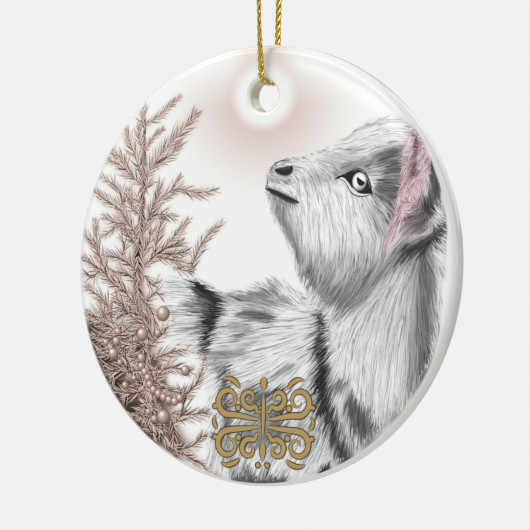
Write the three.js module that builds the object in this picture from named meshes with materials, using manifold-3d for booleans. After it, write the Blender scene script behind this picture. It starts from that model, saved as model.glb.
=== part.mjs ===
// Round glazed ceramic hanging ornament with a printed face, on a loop of metallic gold cord.
// Millimetres. The origin is the hang point, in the crotch of the loop just under its knot.
// +Z is up, the printed face looks towards -Y, and the disc hangs below the origin.

import * as THREE from 'three';
import { mergeVertices } from 'three/addons/utils/BufferGeometryUtils.js';
import Module from 'manifold-3d';

// ---- Driving dimensions ----

// Disc
const discDiameter = 73;
const discThickness = 3.2;
const edgeRound = 0.8; // rolled edge of the glaze round both faces
const discSides = 128;

// Hanging hole
const holeDiameter = 5.2;
const holeDrop = 8.5; // from the rim down to the centre of the hole
const mouthRound = 0.6; // softened mouth of the hole, both faces
const holeSides = 48;

// Print coat, the thin glossy polymer that carries the picture
const coatThickness = 0.08;
const coatMouthGap = 0.3; // bare ring left round the mouth of the hole

// Cord
const cordDiameter = 1.2;
const cordSides = 8;
const cordStep = 2.6; // longest step along a straight run
const bendStep = 0.9; // longest step round the bends through the hole
const cordGap = 0.3; // clearance between the cord and what it touches
const bendRadius = 1.7; // centre line of the cord over the lip of the hole
const bendLead = 0.4; // straight cord above each bend

// Loop
const loopRise = 50; // from the rim of the disc up to the hang point
const crotchGap = 0.3; // clearance between the two strands under the knot

// Knot and its two free tails
const knotDiameter = 3.8;
const knotHeight = 4;
const knotSides = 24;
const tailSpread = 2.6; // how far each tail leans out from the knot
const tailRise = 6.6;

// Bow of each strand as [share of the way up, distance outside the straight line]
const frontBow = [
  [0, 0], [0.04, 0.35], [0.085, 0.75], [0.14, 1.15], [0.21, 1.5], [0.28, 1.8], [0.36, 1.98],
  [0.44, 2.05], [0.52, 2.0], [0.6, 1.84], [0.68, 1.55], [0.76, 1.18], [0.84, 0.76],
  [0.92, 0.34], [0.97, 0.1], [1, 0],
];
const backBow = [
  [0, 0], [0.04, 0.12], [0.085, 0.25], [0.14, 0.38], [0.21, 0.55], [0.28, 0.74], [0.36, 0.92],
  [0.44, 1.03], [0.52, 1.05], [0.6, 1.0], [0.68, 0.87], [0.76, 0.68], [0.84, 0.45],
  [0.92, 0.2], [0.97, 0.06], [1, 0],
];

// ---- Places worked out from the dimensions ----

const cordRadius = cordDiameter / 2;
const crotchHalf = cordRadius + crotchGap / 2; // half the spacing of the strands at the crotch
const holeRadius = holeDiameter / 2;
const discRadius = discDiameter / 2;
const faceY = discThickness / 2;
const rimZ = -loopRise;
const discCentreZ = rimZ - discRadius;
const holeCentreZ = rimZ - holeDrop;
const holeInDiscZ = holeCentreZ - discCentreZ;
const seatZ = holeCentreZ + holeRadius - cordGap - cordRadius; // cord resting up in the hole
const bendTopZ = seatZ + bendRadius;
const bightTopZ = bendTopZ + bendLead;
const strandFootZ = bightTopZ + cordGap;
const standOffFront = faceY + coatThickness + cordGap + cordRadius;
const standOffBack = faceY + cordGap + cordRadius;
const knotFootZ = cordGap;
const knotTopZ = knotFootZ + knotHeight;

// ---- Materials ----

function finish(color, roughness, metalness) {
  return new THREE.MeshStandardMaterial({ color, roughness, metalness });
}

const glazeFinish = finish(0xf3f3f0, 0.15, 0);
const coatFinish = finish(0xd9cfcd, 0.12, 0);
const cordFinish = finish(0xb8941f, 0.35, 0.8);

// ---- Solids ----

const manifold = await Module();
manifold.setup();

function toSolid(geometry) {
  const bare = geometry.clone();
  bare.deleteAttribute('normal');
  bare.deleteAttribute('uv');
  const merged = mergeVertices(bare, 1e-5);
  const mesh = new manifold.Mesh({
    numProp: 3,
    vertProperties: new Float32Array(merged.attributes.position.array),
    triVerts: new Uint32Array(merged.index.array),
  });
  return new manifold.Manifold(mesh);
}

function toGeometry(solid) {
  const mesh = solid.getMesh();
  const geometry = new THREE.BufferGeometry();
  geometry.setAttribute('position', new THREE.BufferAttribute(mesh.vertProperties, 3));
  geometry.setIndex(new THREE.BufferAttribute(mesh.triVerts, 1));
  geometry.computeVertexNormals();
  return geometry;
}

// A quarter round as [radius, y] points from one angle to another.
function arc(centreRadius, centreY, radius, from, to, steps) {
  const points = [];
  for (let i = 0; i <= steps; i += 1) {
    const angle = THREE.MathUtils.degToRad(from + ((to - from) * i) / steps);
    points.push(new THREE.Vector2(
      centreRadius + radius * Math.cos(angle),
      centreY + radius * Math.sin(angle),
    ));
  }
  return points;
}

// Lathed about the world Y axis, which is the axis of the disc.
function turned(points, sides) {
  return new THREE.LatheGeometry(points, sides);
}

// Tool that cuts the hole, flared at both mouths so the edges come out rounded.
function holeTool(radius, round) {
  const reach = faceY + 1;
  const flare = radius + round;
  return turned([
    new THREE.Vector2(0, -reach),
    new THREE.Vector2(flare, -reach),
    ...arc(flare, -faceY + round, round, 270, 180, 4),
    ...arc(flare, faceY - round, round, 180, 90, 4),
    new THREE.Vector2(flare, reach),
    new THREE.Vector2(0, reach),
  ], holeSides).translate(0, 0, holeInDiscZ);
}

function ceramicDisc() {
  const inner = discRadius - edgeRound;
  const blank = turned([
    new THREE.Vector2(0, -faceY),
    ...arc(inner, -faceY + edgeRound, edgeRound, 270, 360, 5),
    ...arc(inner, faceY - edgeRound, edgeRound, 0, 90, 5),
    new THREE.Vector2(0, faceY),
  ], discSides);
  return toGeometry(toSolid(blank).subtract(toSolid(holeTool(holeRadius, mouthRound))));
}

function printCoat() {
  const outer = discRadius - edgeRound;
  const openRadius = holeRadius + mouthRound + coatMouthGap;
  const sheet = turned([
    new THREE.Vector2(0, -faceY - coatThickness),
    new THREE.Vector2(outer, -faceY - coatThickness),
    new THREE.Vector2(outer, -faceY),
    new THREE.Vector2(0, -faceY),
  ], discSides);
  const opening = new THREE.CylinderGeometry(openRadius, openRadius, discThickness * 2, holeSides)
    .translate(0, 0, holeInDiscZ);
  return toGeometry(toSolid(sheet).subtract(toSolid(opening)));
}

// A round section as many-sided outline for the cord.
function cordSection() {
  const points = [];
  for (let i = 0; i < cordSides; i += 1) {
    const angle = (2 * Math.PI * (i + 0.5)) / cordSides;
    points.push(new THREE.Vector2(cordRadius * Math.cos(angle), cordRadius * Math.sin(angle)));
  }
  return new THREE.Shape(points);
}

function cordAlong(path, step) {
  const steps = Math.max(4, Math.ceil(path.getLength() / step));
  return new THREE.ExtrudeGeometry(cordSection(), {
    steps,
    bevelEnabled: false,
    extrudePath: path,
  });
}

// The stretch through the hole: down in front of the face, over the lip, and up behind.
function bightPath() {
  const path = new THREE.CurvePath();
  const at = (y, z) => new THREE.Vector3(0, y, z);
  const quarter = (side, standOff) => new THREE.CubicBezierCurve3(
    at(side * standOff, bendTopZ),
    at(side * standOff, bendTopZ - bendRadius * 0.5523),
    at(side * (standOff - bendRadius * (1 - 0.5523)), seatZ),
    at(side * (standOff - bendRadius), seatZ),
  );
  const back = quarter(1, standOffBack);
  path.add(new THREE.LineCurve3(at(-standOffFront, bightTopZ), at(-standOffFront, bendTopZ)));
  path.add(quarter(-1, standOffFront));
  path.add(new THREE.LineCurve3(
    at(-standOffFront + bendRadius, seatZ),
    at(standOffBack - bendRadius, seatZ),
  ));
  path.add(new THREE.CubicBezierCurve3(back.v3, back.v2, back.v1, back.v0));
  path.add(new THREE.LineCurve3(at(standOffBack, bendTopZ), at(standOffBack, bightTopZ)));
  return path;
}

// One strand from just above the disc's hole up to the hang point.
function strandPath(side, standOff, bow) {
  return new THREE.CatmullRomCurve3(bow.map(([share, out]) => {
    const straight = THREE.MathUtils.lerp(standOff, crotchHalf, share);
    const z = THREE.MathUtils.lerp(strandFootZ, 0, share);
    return new THREE.Vector3(0, side * (straight + out), z);
  }), false, 'centripetal');
}

// Knot as a plain rounded barrel on the Z axis.
function knotBody() {
  const radius = knotDiameter / 2;
  const round = radius * 0.6;
  return turned([
    new THREE.Vector2(0, knotFootZ),
    ...arc(radius - round, knotFootZ + round, round, 270, 360, 5),
    ...arc(radius - round, knotTopZ - round, round, 0, 90, 5),
    new THREE.Vector2(0, knotTopZ),
  ], knotSides).rotateX(Math.PI / 2);
}

function tailPath(side) {
  const foot = knotTopZ + cordGap;
  return new THREE.CatmullRomCurve3([
    new THREE.Vector3(0, side * crotchHalf, foot),
    new THREE.Vector3(0, side * (crotchHalf + tailSpread * 0.18), foot + tailRise * 0.35),
    new THREE.Vector3(0, side * (crotchHalf + tailSpread * 0.52), foot + tailRise * 0.7),
    new THREE.Vector3(0, side * (crotchHalf + tailSpread), foot + tailRise),
  ], false, 'centripetal');
}

// ---- Assembly ----

const ornament = new THREE.Group();

function place(name, geometry, material, z = 0) {
  const mesh = new THREE.Mesh(geometry, material);
  mesh.name = name;
  mesh.position.z = z;
  ornament.add(mesh);
}

place('ceramic_disc', ceramicDisc(), glazeFinish, discCentreZ);
place('print_coat', printCoat(), coatFinish, discCentreZ);
place('cord_bight', cordAlong(bightPath(), bendStep), cordFinish);
place('strand_front', cordAlong(strandPath(-1, standOffFront, frontBow), cordStep), cordFinish);
place('strand_back', cordAlong(strandPath(1, standOffBack, backBow), cordStep), cordFinish);
place('cord_knot', knotBody(), cordFinish);
place('tail_front', cordAlong(tailPath(-1), cordStep), cordFinish);
place('tail_back', cordAlong(tailPath(1), cordStep), cordFinish);

export default ornament;
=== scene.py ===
"""Round glazed ceramic ornament with a printed winter picture, on a knotted loop of gold cord."""

import math

import bmesh
import bpy
import numpy as np
from mathutils import Matrix, Vector
from mathutils.geometry import tessellate_polygon


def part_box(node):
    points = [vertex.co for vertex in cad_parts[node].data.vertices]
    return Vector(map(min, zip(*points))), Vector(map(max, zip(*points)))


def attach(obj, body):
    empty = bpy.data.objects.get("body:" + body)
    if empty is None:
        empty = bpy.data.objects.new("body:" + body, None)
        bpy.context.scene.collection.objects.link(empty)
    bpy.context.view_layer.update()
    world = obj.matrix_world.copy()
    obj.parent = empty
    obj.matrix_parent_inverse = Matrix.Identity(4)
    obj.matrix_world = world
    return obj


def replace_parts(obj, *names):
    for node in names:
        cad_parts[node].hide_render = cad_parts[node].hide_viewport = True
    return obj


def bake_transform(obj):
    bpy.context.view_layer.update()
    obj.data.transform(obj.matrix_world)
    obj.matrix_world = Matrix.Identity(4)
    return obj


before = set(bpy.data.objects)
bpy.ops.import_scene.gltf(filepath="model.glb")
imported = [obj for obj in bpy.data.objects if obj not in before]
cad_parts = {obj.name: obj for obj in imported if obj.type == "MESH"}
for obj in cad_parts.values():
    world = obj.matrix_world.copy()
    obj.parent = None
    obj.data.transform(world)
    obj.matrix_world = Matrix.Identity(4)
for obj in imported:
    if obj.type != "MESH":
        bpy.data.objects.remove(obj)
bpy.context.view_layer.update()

bl_info = {
    "name": "Printed Ceramic Ornament",
    "version": (1, 0, 0),
    "blender": (4, 5, 0),
    "location": "3D View > Sidebar > Ornament",
    "description": "Builds a printed ceramic disc ornament on a twisted gold cord loop",
    "category": "Object",
}

# ---------------------------------------------------------------------------------------------
# Frame: every place below is in millimetres in the row frame and turns to metres at the mesh.
# ---------------------------------------------------------------------------------------------

MM = 0.001
DISC_LOW, DISC_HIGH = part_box("ceramic_disc")
COAT_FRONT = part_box("print_coat")[0]
KNOT_LOW, KNOT_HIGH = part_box("cord_knot")

RADIUS = (DISC_HIGH.x - DISC_LOW.x) / 2 / MM
CENTRE_Z = (DISC_HIGH.z + DISC_LOW.z) / 2 / MM
FRONT_Y = DISC_LOW.y / MM
BACK_Y = DISC_HIGH.y / MM
COAT_THICKNESS = FRONT_Y - COAT_FRONT.y / MM


def linear(text):
    """An sRGB hex colour as three linear values."""
    parts = [int(text[i:i + 2], 16) / 255 for i in (1, 3, 5)]
    return tuple(c / 12.92 if c <= 0.04045 else ((c + 0.055) / 1.055) ** 2.4 for c in parts)


def encoded(text):
    """An sRGB hex colour as three values from 0 to 1, for mixing paint by eye."""
    return np.array([int(text[i:i + 2], 16) / 255 for i in (1, 3, 5)])


def decoded(colours):
    """Rows of sRGB values as rows of linear values."""
    return np.where(colours <= 0.04045, colours / 12.92, ((colours + 0.055) / 1.055) ** 2.4)


def hex_text(values):
    """sRGB values from 0 to 1 as a hex colour."""
    return "#" + "".join(f"{int(round(255 * value)):02x}" for value in values)


def eased(share):
    """A share from 0 to 1 that leaves 0 and reaches 1 gently."""
    return share * share * (3 - 2 * share)


# ---------------------------------------------------------------------------------------------
# Sizes and colours that a user would change
# ---------------------------------------------------------------------------------------------


def length(name, description, millimetres):
    """A length that a user can change, given here in millimetres."""
    return bpy.props.FloatProperty(
        name=name, description=description, default=millimetres * MM, unit="LENGTH", precision=5
    )


def colour(name, description, text):
    """A colour that a user can change, given here as sRGB hex."""
    return bpy.props.FloatVectorProperty(
        name=name, description=description, default=linear(text), size=3,
        subtype="COLOR", min=0.0, max=1.0,
    )


class ORNAMENT_PG_disc(bpy.types.PropertyGroup):
    """Sizes of the glazed disc and its hole."""

    edge_round: length("Edge Round", "Rolled edge of the glaze round both faces", 0.8)
    hole_drop: length("Hole Drop", "From the rim down to the centre of the hole", 8.5)
    hole_diameter: length("Hole Diameter", "Clear diameter of the hanging hole", 5.2)
    mouth_round: length("Mouth Round", "Softened mouth of the hole on both faces", 0.6)
    print_reach: length("Print Reach", "Bare ceramic left outside the picture", 0.35)
    glaze: colour("Glaze", "White glaze of the body", "#f4f4f2")


class ORNAMENT_PG_cord(bpy.types.PropertyGroup):
    """Sizes and colour of the twisted gold cord."""

    diameter: length("Cord Diameter", "Outer diameter of the twisted cord", 1.2)
    bend_radius: length("Bend Radius", "Centre line of the cord over the lip of the hole", 1.7)
    lay: length("Lay Length", "One full turn of the twist", 3.9)
    plies: bpy.props.IntProperty(
        name="Plies", description="Yarns twisted together", default=3, min=2, max=4
    )
    gold: colour("Gold Foil", "Metallised film of the yarn", "#e2c45c")


class ORNAMENT_PG_picture(bpy.types.PropertyGroup):
    """Sizes of the printed strokes."""

    fur_spacing: length("Fur Spacing", "Least distance between fur strokes", 0.22)
    fur_width: length("Fur Width", "Widest part of a fur stroke", 0.17)
    needle_spacing: length("Needle Spacing", "Distance between fir needles on a twig", 0.46)
    needle_width: length("Needle Width", "Widest part of a fir needle", 0.17)
    flourish: colour("Flourish Gold", "Flat gold ink of the flourish", "#ad935a")
    seed: bpy.props.IntProperty(name="Seed", description="Draws of the strokes", default=7)


class ORNAMENT_PG_stage(bpy.types.PropertyGroup):
    """Camera and floor."""

    azimuth: bpy.props.FloatProperty(
        name="Azimuth", description="Camera bearing to the right of the printed face",
        default=math.radians(31.06), subtype="ANGLE",
    )
    elevation: bpy.props.FloatProperty(
        name="Elevation", description="Camera height above the level line",
        default=math.radians(-1.79), subtype="ANGLE",
    )
    roll: bpy.props.FloatProperty(
        name="Roll", description="Turn of the camera about its own line of sight",
        default=math.radians(0.945), subtype="ANGLE",
    )
    distance: length("Distance", "Camera to the middle of the disc", 600)
    lens: bpy.props.FloatProperty(
        name="Lens", description="Focal length in millimetres", default=246.2, unit="CAMERA"
    )
    floor_drop: length("Floor Drop", "Floor below the lowest point of the disc", 90)
    backdrop: colour("Backdrop", "Even pale grey all round", "#f0f0f0")


# ---------------------------------------------------------------------------------------------
# Materials
# ---------------------------------------------------------------------------------------------


def add(tree, kind, settings=None, links=None):
    """Adds a node, sets its properties and sockets, and links its inputs."""
    node = tree.nodes.new(kind)
    for name, value in (settings or {}).items():
        if isinstance(name, str) and hasattr(node, name):
            setattr(node, name, value)
        else:
            node.inputs[name].default_value = value
    for name, source in (links or {}).items():
        tree.links.new(source, node.inputs[name])
    return node


def blank(name):
    """A material of this name with an empty node tree."""
    material = bpy.data.materials.get(name) or bpy.data.materials.new(name)
    material.use_nodes = True
    material.node_tree.nodes.clear()
    return material, material.node_tree


def finish_with(tree, settings, links):
    """Ends a material in one Principled shader with these settings and links."""
    shader = add(tree, "ShaderNodeBsdfPrincipled", settings, links)
    add(tree, "ShaderNodeOutputMaterial", links={"Surface": shader.outputs["BSDF"]})


def position(tree):
    """Where a place is in the row frame, in metres."""
    return add(tree, "ShaderNodeTexCoord").outputs["Object"]


def noise(tree, size_mm, detail=2.0, roughness=0.5):
    """Noise whose largest lumps are about size_mm across."""
    return add(
        tree, "ShaderNodeTexNoise",
        {"Scale": 1 / (size_mm * MM), "Detail": detail, "Roughness": roughness},
        {"Vector": position(tree)},
    )


def glaze_bump(tree):
    """Fired glaze is never dead flat: slow swells 9 mm apart and a fine orange peel."""
    swell = noise(tree, 9.0, detail=1.0)
    slow = add(
        tree, "ShaderNodeBump", {"Strength": 0.10, "Distance": 0.00006},
        {"Height": swell.outputs["Fac"]},
    )
    peel = noise(tree, 1.6, detail=2.0)
    return add(
        tree, "ShaderNodeBump", {"Strength": 0.04, "Distance": 0.00001},
        {"Height": peel.outputs["Fac"], "Normal": slow.outputs["Normal"]},
    ).outputs["Normal"]


def tinted(tree, base, shade, size_mm, low=0.35, high=0.7):
    """Two close colours mixed by noise, so that a finish isn't one flat tone."""
    lumps = noise(tree, size_mm, detail=3.0)
    spread = add(
        tree, "ShaderNodeMapRange", {"From Min": low, "From Max": high},
        {"Value": lumps.outputs["Fac"]},
    )
    mix = add(
        tree, "ShaderNodeMix", {"data_type": "RGBA"}, {"Factor": spread.outputs["Result"]}
    )
    mix.inputs[6].default_value = (*base, 1)
    mix.inputs[7].default_value = (*shade, 1)
    return mix.outputs[2]


def white_glaze(colour_value):
    """Fired white ceramic glaze: hard, wet-looking and slightly warm, with a soft swell. The mesh's
    points hold a painted shade that greys it over the edge and the wall, and a buff-tinted painted
    shade inside the hole."""
    material, tree = blank("fired_white_glaze")
    warm = tuple(c * f for c, f in zip(colour_value, (0.985, 0.975, 0.955)))
    # painted shade from the mesh's points, multiplied into the white
    painted_rim_shade = add(tree, "ShaderNodeAttribute", {"attribute_name": "pigment"})
    toned = add(
        tree, "ShaderNodeMix", {"data_type": "RGBA", "blend_type": "MULTIPLY", "Factor": 1.0},
        {6: tinted(tree, tuple(colour_value), warm, 14.0), 7: painted_rim_shade.outputs["Color"]},
    )
    finish_with(
        tree,
        {"Roughness": 0.13, "IOR": 1.52, "Coat Weight": 0.25, "Coat Roughness": 0.05},
        {"Base Color": toned.outputs[2], "Normal": glaze_bump(tree)},
    )
    return material


def pressed_dye(name):
    """Dye pressed by heat into a clear polymer coat: the colour sits inside an even gloss and
    has no relief of its own. The dye's tones are held at the mesh's points."""
    material, tree = blank(name)
    pigment = add(tree, "ShaderNodeAttribute", {"attribute_name": "pigment"})
    finish_with(
        tree,
        {"Roughness": 0.09, "IOR": 1.5},
        {"Base Color": pigment.outputs["Color"], "Normal": glaze_bump(tree)},
    )
    return material


def gold_foil_yarn(colour_value):
    """Film metallised with aluminium under yellow lacquer, slit and spun: bright, thready glints."""
    material, tree = blank("metallised_gold_yarn")
    deep = tuple(c * f for c, f in zip(colour_value, (0.50, 0.46, 0.32)))
    slits = noise(tree, 0.35, detail=2.0)
    fine = add(
        tree, "ShaderNodeBump", {"Strength": 0.55, "Distance": 0.00004},
        {"Height": slits.outputs["Fac"]},
    )
    wear = add(
        tree, "ShaderNodeMapRange",
        {"From Min": 0.3, "From Max": 0.75, "To Min": 0.18, "To Max": 0.38},
        {"Value": slits.outputs["Fac"]},
    )
    finish_with(
        tree,
        {"Metallic": 1.0},
        {
            "Base Color": tinted(tree, tuple(colour_value), deep, 0.5, 0.38, 0.72),
            "Roughness": wear.outputs["Result"],
            "Normal": fine.outputs["Normal"],
        },
    )
    return material


# ---------------------------------------------------------------------------------------------
# Meshes
# ---------------------------------------------------------------------------------------------


def mesh_object(name, vertices, faces, material, pigment=None):
    """A smooth mesh object from points in millimetres, with optional linear vertex colours."""
    mesh = bpy.data.meshes.new(name)
    faces = faces.tolist() if isinstance(faces, np.ndarray) else faces
    mesh.from_pydata((np.asarray(vertices, float) * MM).tolist(), [], faces)
    mesh.materials.append(material)
    mesh.shade_smooth()
    if pigment is not None:
        layer = mesh.color_attributes.new("pigment", "FLOAT_COLOR", "POINT")
        values = np.ones((len(vertices), 4), np.float32)
        values[:, :3] = pigment
        layer.data.foreach_set("color", values.ravel())
    made = bpy.data.objects.new(name, mesh)
    bpy.context.collection.objects.link(made)
    return made


def sheet_faces(rows, columns, wrap_columns=False, wrap_rows=False, flip=False):
    """Quads of a grid of points stored row by row."""
    a = np.arange(rows if wrap_rows else rows - 1)
    b = np.arange(columns if wrap_columns else columns - 1)
    i, j = (x.ravel() for x in np.meshgrid(a, b, indexing="ij"))
    i1, j1 = (i + 1) % rows, (j + 1) % columns
    quads = np.stack([i * columns + j, i * columns + j1, i1 * columns + j1, i1 * columns + j], 1)
    return quads[:, ::-1] if flip else quads


def flat_map(made):
    """A flat layout of the picture for its baked colours, as the print was laid out."""
    mesh = made.data
    layer = mesh.uv_layers.new(name="OFBake")
    co = np.empty(len(mesh.vertices) * 3, np.float32)
    mesh.vertices.foreach_get("co", co)
    corner = np.empty(len(mesh.loops), np.int32)
    mesh.loops.foreach_get("vertex_index", corner)
    co = co.reshape(-1, 3)[corner]
    span = 2 * RADIUS * MM
    uv = np.stack([co[:, 0] / span + 0.5, (co[:, 2] - CENTRE_Z * MM) / span + 0.5], 1)
    layer.data.foreach_set("uv", uv.astype(np.float32).ravel())
    return made


def spline(a, b, c, d, t):
    """The stretch from b to c of a Catmull-Rom curve."""
    return 0.5 * (
        2 * b + (c - a) * t + (2 * a - 5 * b + 4 * c - d) * t ** 2
        + (3 * b - a - 3 * c + d) * t ** 3
    )


def smooth_line(points, per_span=8):
    """A smooth open curve through the points, any number of dimensions."""
    p = np.asarray(points, float)
    p = np.vstack([2 * p[0] - p[1], p, 2 * p[-1] - p[-2]])
    t = np.linspace(0, 1, per_span, endpoint=False)[:, None]
    spans = [spline(a, b, c, d, t) for a, b, c, d in zip(p[:-3], p[1:-2], p[2:-1], p[3:])]
    return np.vstack([*spans, p[-2:-1]])


def smooth_ring(points, per_span=6):
    """A smooth closed curve through the points."""
    p = np.asarray(points, float)
    t = np.linspace(0, 1, per_span, endpoint=False)[:, None]
    return np.vstack([
        spline(p[i - 1], p[i], p[(i + 1) % len(p)], p[(i + 2) % len(p)], t)
        for i in range(len(p))
    ])


def resampled(line, count):
    """The line's points moved to even steps along it."""
    line = np.asarray(line, float)
    run = np.concatenate([[0], np.cumsum(np.linalg.norm(np.diff(line, axis=0), axis=1))])
    at = np.linspace(0, run[-1], count)
    return np.stack([np.interp(at, run, line[:, k]) for k in range(line.shape[1])], 1)


def run_length(line):
    return float(np.linalg.norm(np.diff(np.asarray(line), axis=0), axis=1).sum())


# ---------------------------------------------------------------------------------------------
# The disc's surface
# ---------------------------------------------------------------------------------------------

ROUND_SIDES = 256
FACE_RINGS = 26
FACE_CROWDING = 0.9  # below 1, the rings stand closer towards the rim
ROUND_RINGS = 7  # over the hole's mouth and over the rim
WALL_RING = 0.3  # the hole wall's ring, as a share of the way from its middle to a face
ROLL_WIDTH = 3.8  # outer band where the glaze thins and rolls away from the face
ROLL_DEPTH = 0.26
ROLL_POWER = 2.4  # most of the roll is close to the rim
RIM_SHADE_FROM = 34.8  # painted shade: the white starts to grey this far from the disc's middle
RIM_SHADE_WIDTH = 1.5
RIM_SHADE_LOSS = 0.19
WALL_SHADED_TONE = 0.92  # painted shade of the disc's outer wall at the front edge
WALL_SHADE_LOSS = 0.26  # painted shade: what it loses towards the back edge
HOLE_BUFF_AND_SHADE = np.array((0.72, 0.69, 0.56))  # painted shade inside the hole, tinted buff
COAT_THINS_BY = 0.85  # share of the printed coat lost at the rim
COAT_THINS_FROM = 0.6  # before the end of the flat face
COAT_THINS_OVER = 1.0


def disc_sizes():
    """Radius of the flat, edge round, hole centre height, hole radius and mouth round, in mm."""
    sizes = bpy.context.scene.ornament_disc
    edge = sizes.edge_round / MM
    hole_v = RADIUS - sizes.hole_drop / MM
    return RADIUS - edge, edge, hole_v, sizes.hole_diameter / 2 / MM, sizes.mouth_round / MM


def glaze_drop(radius):
    """How far the glaze has fallen back from the face at a distance from the disc's centre."""
    flat, edge, *_ = disc_sizes()
    roll = np.clip((radius - (flat - ROLL_WIDTH)) / ROLL_WIDTH, 0, 1)
    over = np.clip(radius - flat, 0, edge * 0.999)
    return ROLL_DEPTH * roll ** ROLL_POWER + edge - np.sqrt(edge ** 2 - over ** 2)


def rim_painted_shade(radius):
    """Linear tone of the white: a painted shade that greys it towards the rim."""
    return 1 - RIM_SHADE_LOSS * eased(np.clip((radius - RIM_SHADE_FROM) / RIM_SHADE_WIDTH, 0, 1))


def glaze_shade_and_buff(points):
    """Linear tone at each point of the body: painted shade that greys it over the edge and darkens
    the wall towards its back, and a buff-tinted painted shade inside the hole.
    """
    flat, edge, hole_v, hole_radius, mouth = disc_sizes()
    u, depth, v = points[:, 0], points[:, 1], points[:, 2] - CENTRE_Z
    radius = np.hypot(u, v)
    back = np.clip((depth - FRONT_Y) / (BACK_Y - FRONT_Y), 0, 1)
    wall = np.clip((radius - flat) / edge, 0, 1)
    # painted shade: grey over the rim, darker towards the back of the outer wall
    tone = rim_painted_shade(radius) * (1 - wall) + (WALL_SHADED_TONE - WALL_SHADE_LOSS * back) * wall
    # painted shade tinted buff over the hole's mouth and wall
    within = np.clip(1 - (np.hypot(u, v - hole_v) - hole_radius) / mouth, 0, 1)[:, None]
    return tone[:, None] * (1 - within) + HOLE_BUFF_AND_SHADE * within


def coat_y(u, v, lift=0.0):
    """Height of the printed coat over a place of the picture; it thins out at the rim."""
    radius = np.hypot(u, v)
    flat, *_ = disc_sizes()
    thin = eased(np.clip((radius - (flat - COAT_THINS_FROM)) / COAT_THINS_OVER, 0, 1))
    coat = COAT_THICKNESS * (1 - thin * COAT_THINS_BY)
    return FRONT_Y + glaze_drop(radius) - coat - lift


def on_face(u, v, lift=0.0):
    """Points of the picture as points in the row frame, in millimetres."""
    return np.stack([u, coat_y(u, v, lift), v + CENTRE_Z], -1)


def between_rings(share, inner, hole_v, outer, sides):
    """A ring of places part of the way from a ring round the hole to one round the disc."""
    angle = np.linspace(0, 2 * np.pi, sides, endpoint=False)
    c, s = np.cos(angle), np.sin(angle)
    share = np.asarray(share)[:, None]
    u = inner * c * (1 - share) + outer * c * share
    v = (hole_v + inner * s) * (1 - share) + outer * s * share
    return u, v


def glazed_disc(material):
    """The body as one closed shell: hole wall, mouth, face, rolled edge, wall, and back again."""
    flat, edge, hole_v, hole_radius, mouth = disc_sizes()
    quarter = np.radians(np.linspace(0, 90, ROUND_RINGS))
    shares = np.linspace(0, 1, FACE_RINGS) ** FACE_CROWDING
    u_face, v_face = between_rings(shares, hole_radius + mouth, hole_v, flat, ROUND_SIDES)
    half = (BACK_Y - FRONT_Y) / 2
    middle = (BACK_Y + FRONT_Y) / 2

    def ring(radius, centre_v, depth):
        u, v = between_rings([1.0], 0, 0, radius, ROUND_SIDES)
        return np.stack([u[0], np.full(ROUND_SIDES, depth), v[0] + centre_v + CENTRE_Z], 1)

    rings = []
    for side in (-1, 1):
        loop = [ring(hole_radius, hole_v, middle + side * half * WALL_RING)]
        for angle in quarter:
            drop = mouth * (1 - math.sin(angle))
            grow = mouth * (1 - math.cos(angle))
            loop.append(ring(hole_radius + grow, hole_v, middle + side * (half - drop)))
        for u, v in zip(u_face[1:], v_face[1:]):
            depth = middle + side * (half - glaze_drop(np.hypot(u, v)))
            loop.append(np.stack([u, depth, v + CENTRE_Z], 1))
        for angle in quarter[1:]:
            radius = flat + edge * math.sin(angle)
            depth = half - ROLL_DEPTH - edge * (1 - math.cos(angle))
            loop.append(ring(radius, 0, middle + side * depth))
        rings.append(loop)
    front, back = rings
    shell = front + [ring(RADIUS, 0, middle)] + back[::-1]
    faces = sheet_faces(len(shell), ROUND_SIDES, wrap_columns=True, wrap_rows=True)
    points = np.vstack(shell)
    # the points hold the painted shade of the rim, the wall and the hole
    return mesh_object("glazed_disc", points, faces, material, glaze_shade_and_buff(points))


# ---------------------------------------------------------------------------------------------
# The picture, in millimetres from the disc's centre: right is +, up is +
# ---------------------------------------------------------------------------------------------

PAPER = "#edf0ef"  # unprinted white of the coat


def dab(text, strength, reach, *places):
    """A soft smear of one colour along a few places."""
    return encoded(text), strength, reach, np.array(places, float)


def off_line(u, v, line):
    """Distance of each place from a line of points."""
    nearest = np.full(u.shape, 1e9)
    for a, b in zip(line[:-1], line[1:]) if len(line) > 1 else [(line[0], line[0])]:
        d = b - a
        t = np.clip(((u - a[0]) * d[0] + (v - a[1]) * d[1]) / max(d @ d, 1e-9), 0, 1)
        nearest = np.minimum(nearest, np.hypot(u - a[0] - t * d[0], v - a[1] - t * d[1]))
    return nearest


def inside(u, v, ring):
    """Which places lie inside a closed ring of points."""
    hit = np.zeros(u.shape, bool)
    for (ax, ay), (bx, by) in zip(ring, np.roll(ring, -1, axis=0)):
        if ay == by:
            continue
        crosses = ((ay > v) != (by > v)) & (u < (bx - ax) * (v - ay) / (by - ay) + ax)
        hit ^= crosses
    return hit


def soft_mask(u, v, ring, soft):
    """1 well inside a ring, 0 well outside, easing over its edge."""
    line = np.vstack([ring, ring[:1]])
    reach = off_line(u, v, line) * np.where(inside(u, v, ring), 1, -1)
    return eased(np.clip(reach / (2 * soft) + 0.5, 0, 1))


def smear(colours, u, v, dabs):
    """Lays the dabs over the colours in order."""
    for pigment, strength, reach, line in dabs:
        away = off_line(u, v, line) / reach
        cover = strength * np.exp(-(np.minimum(away, 6) ** 2.4))
        colours += (pigment - colours) * cover[..., None]
    return colours


# Outlines

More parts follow.
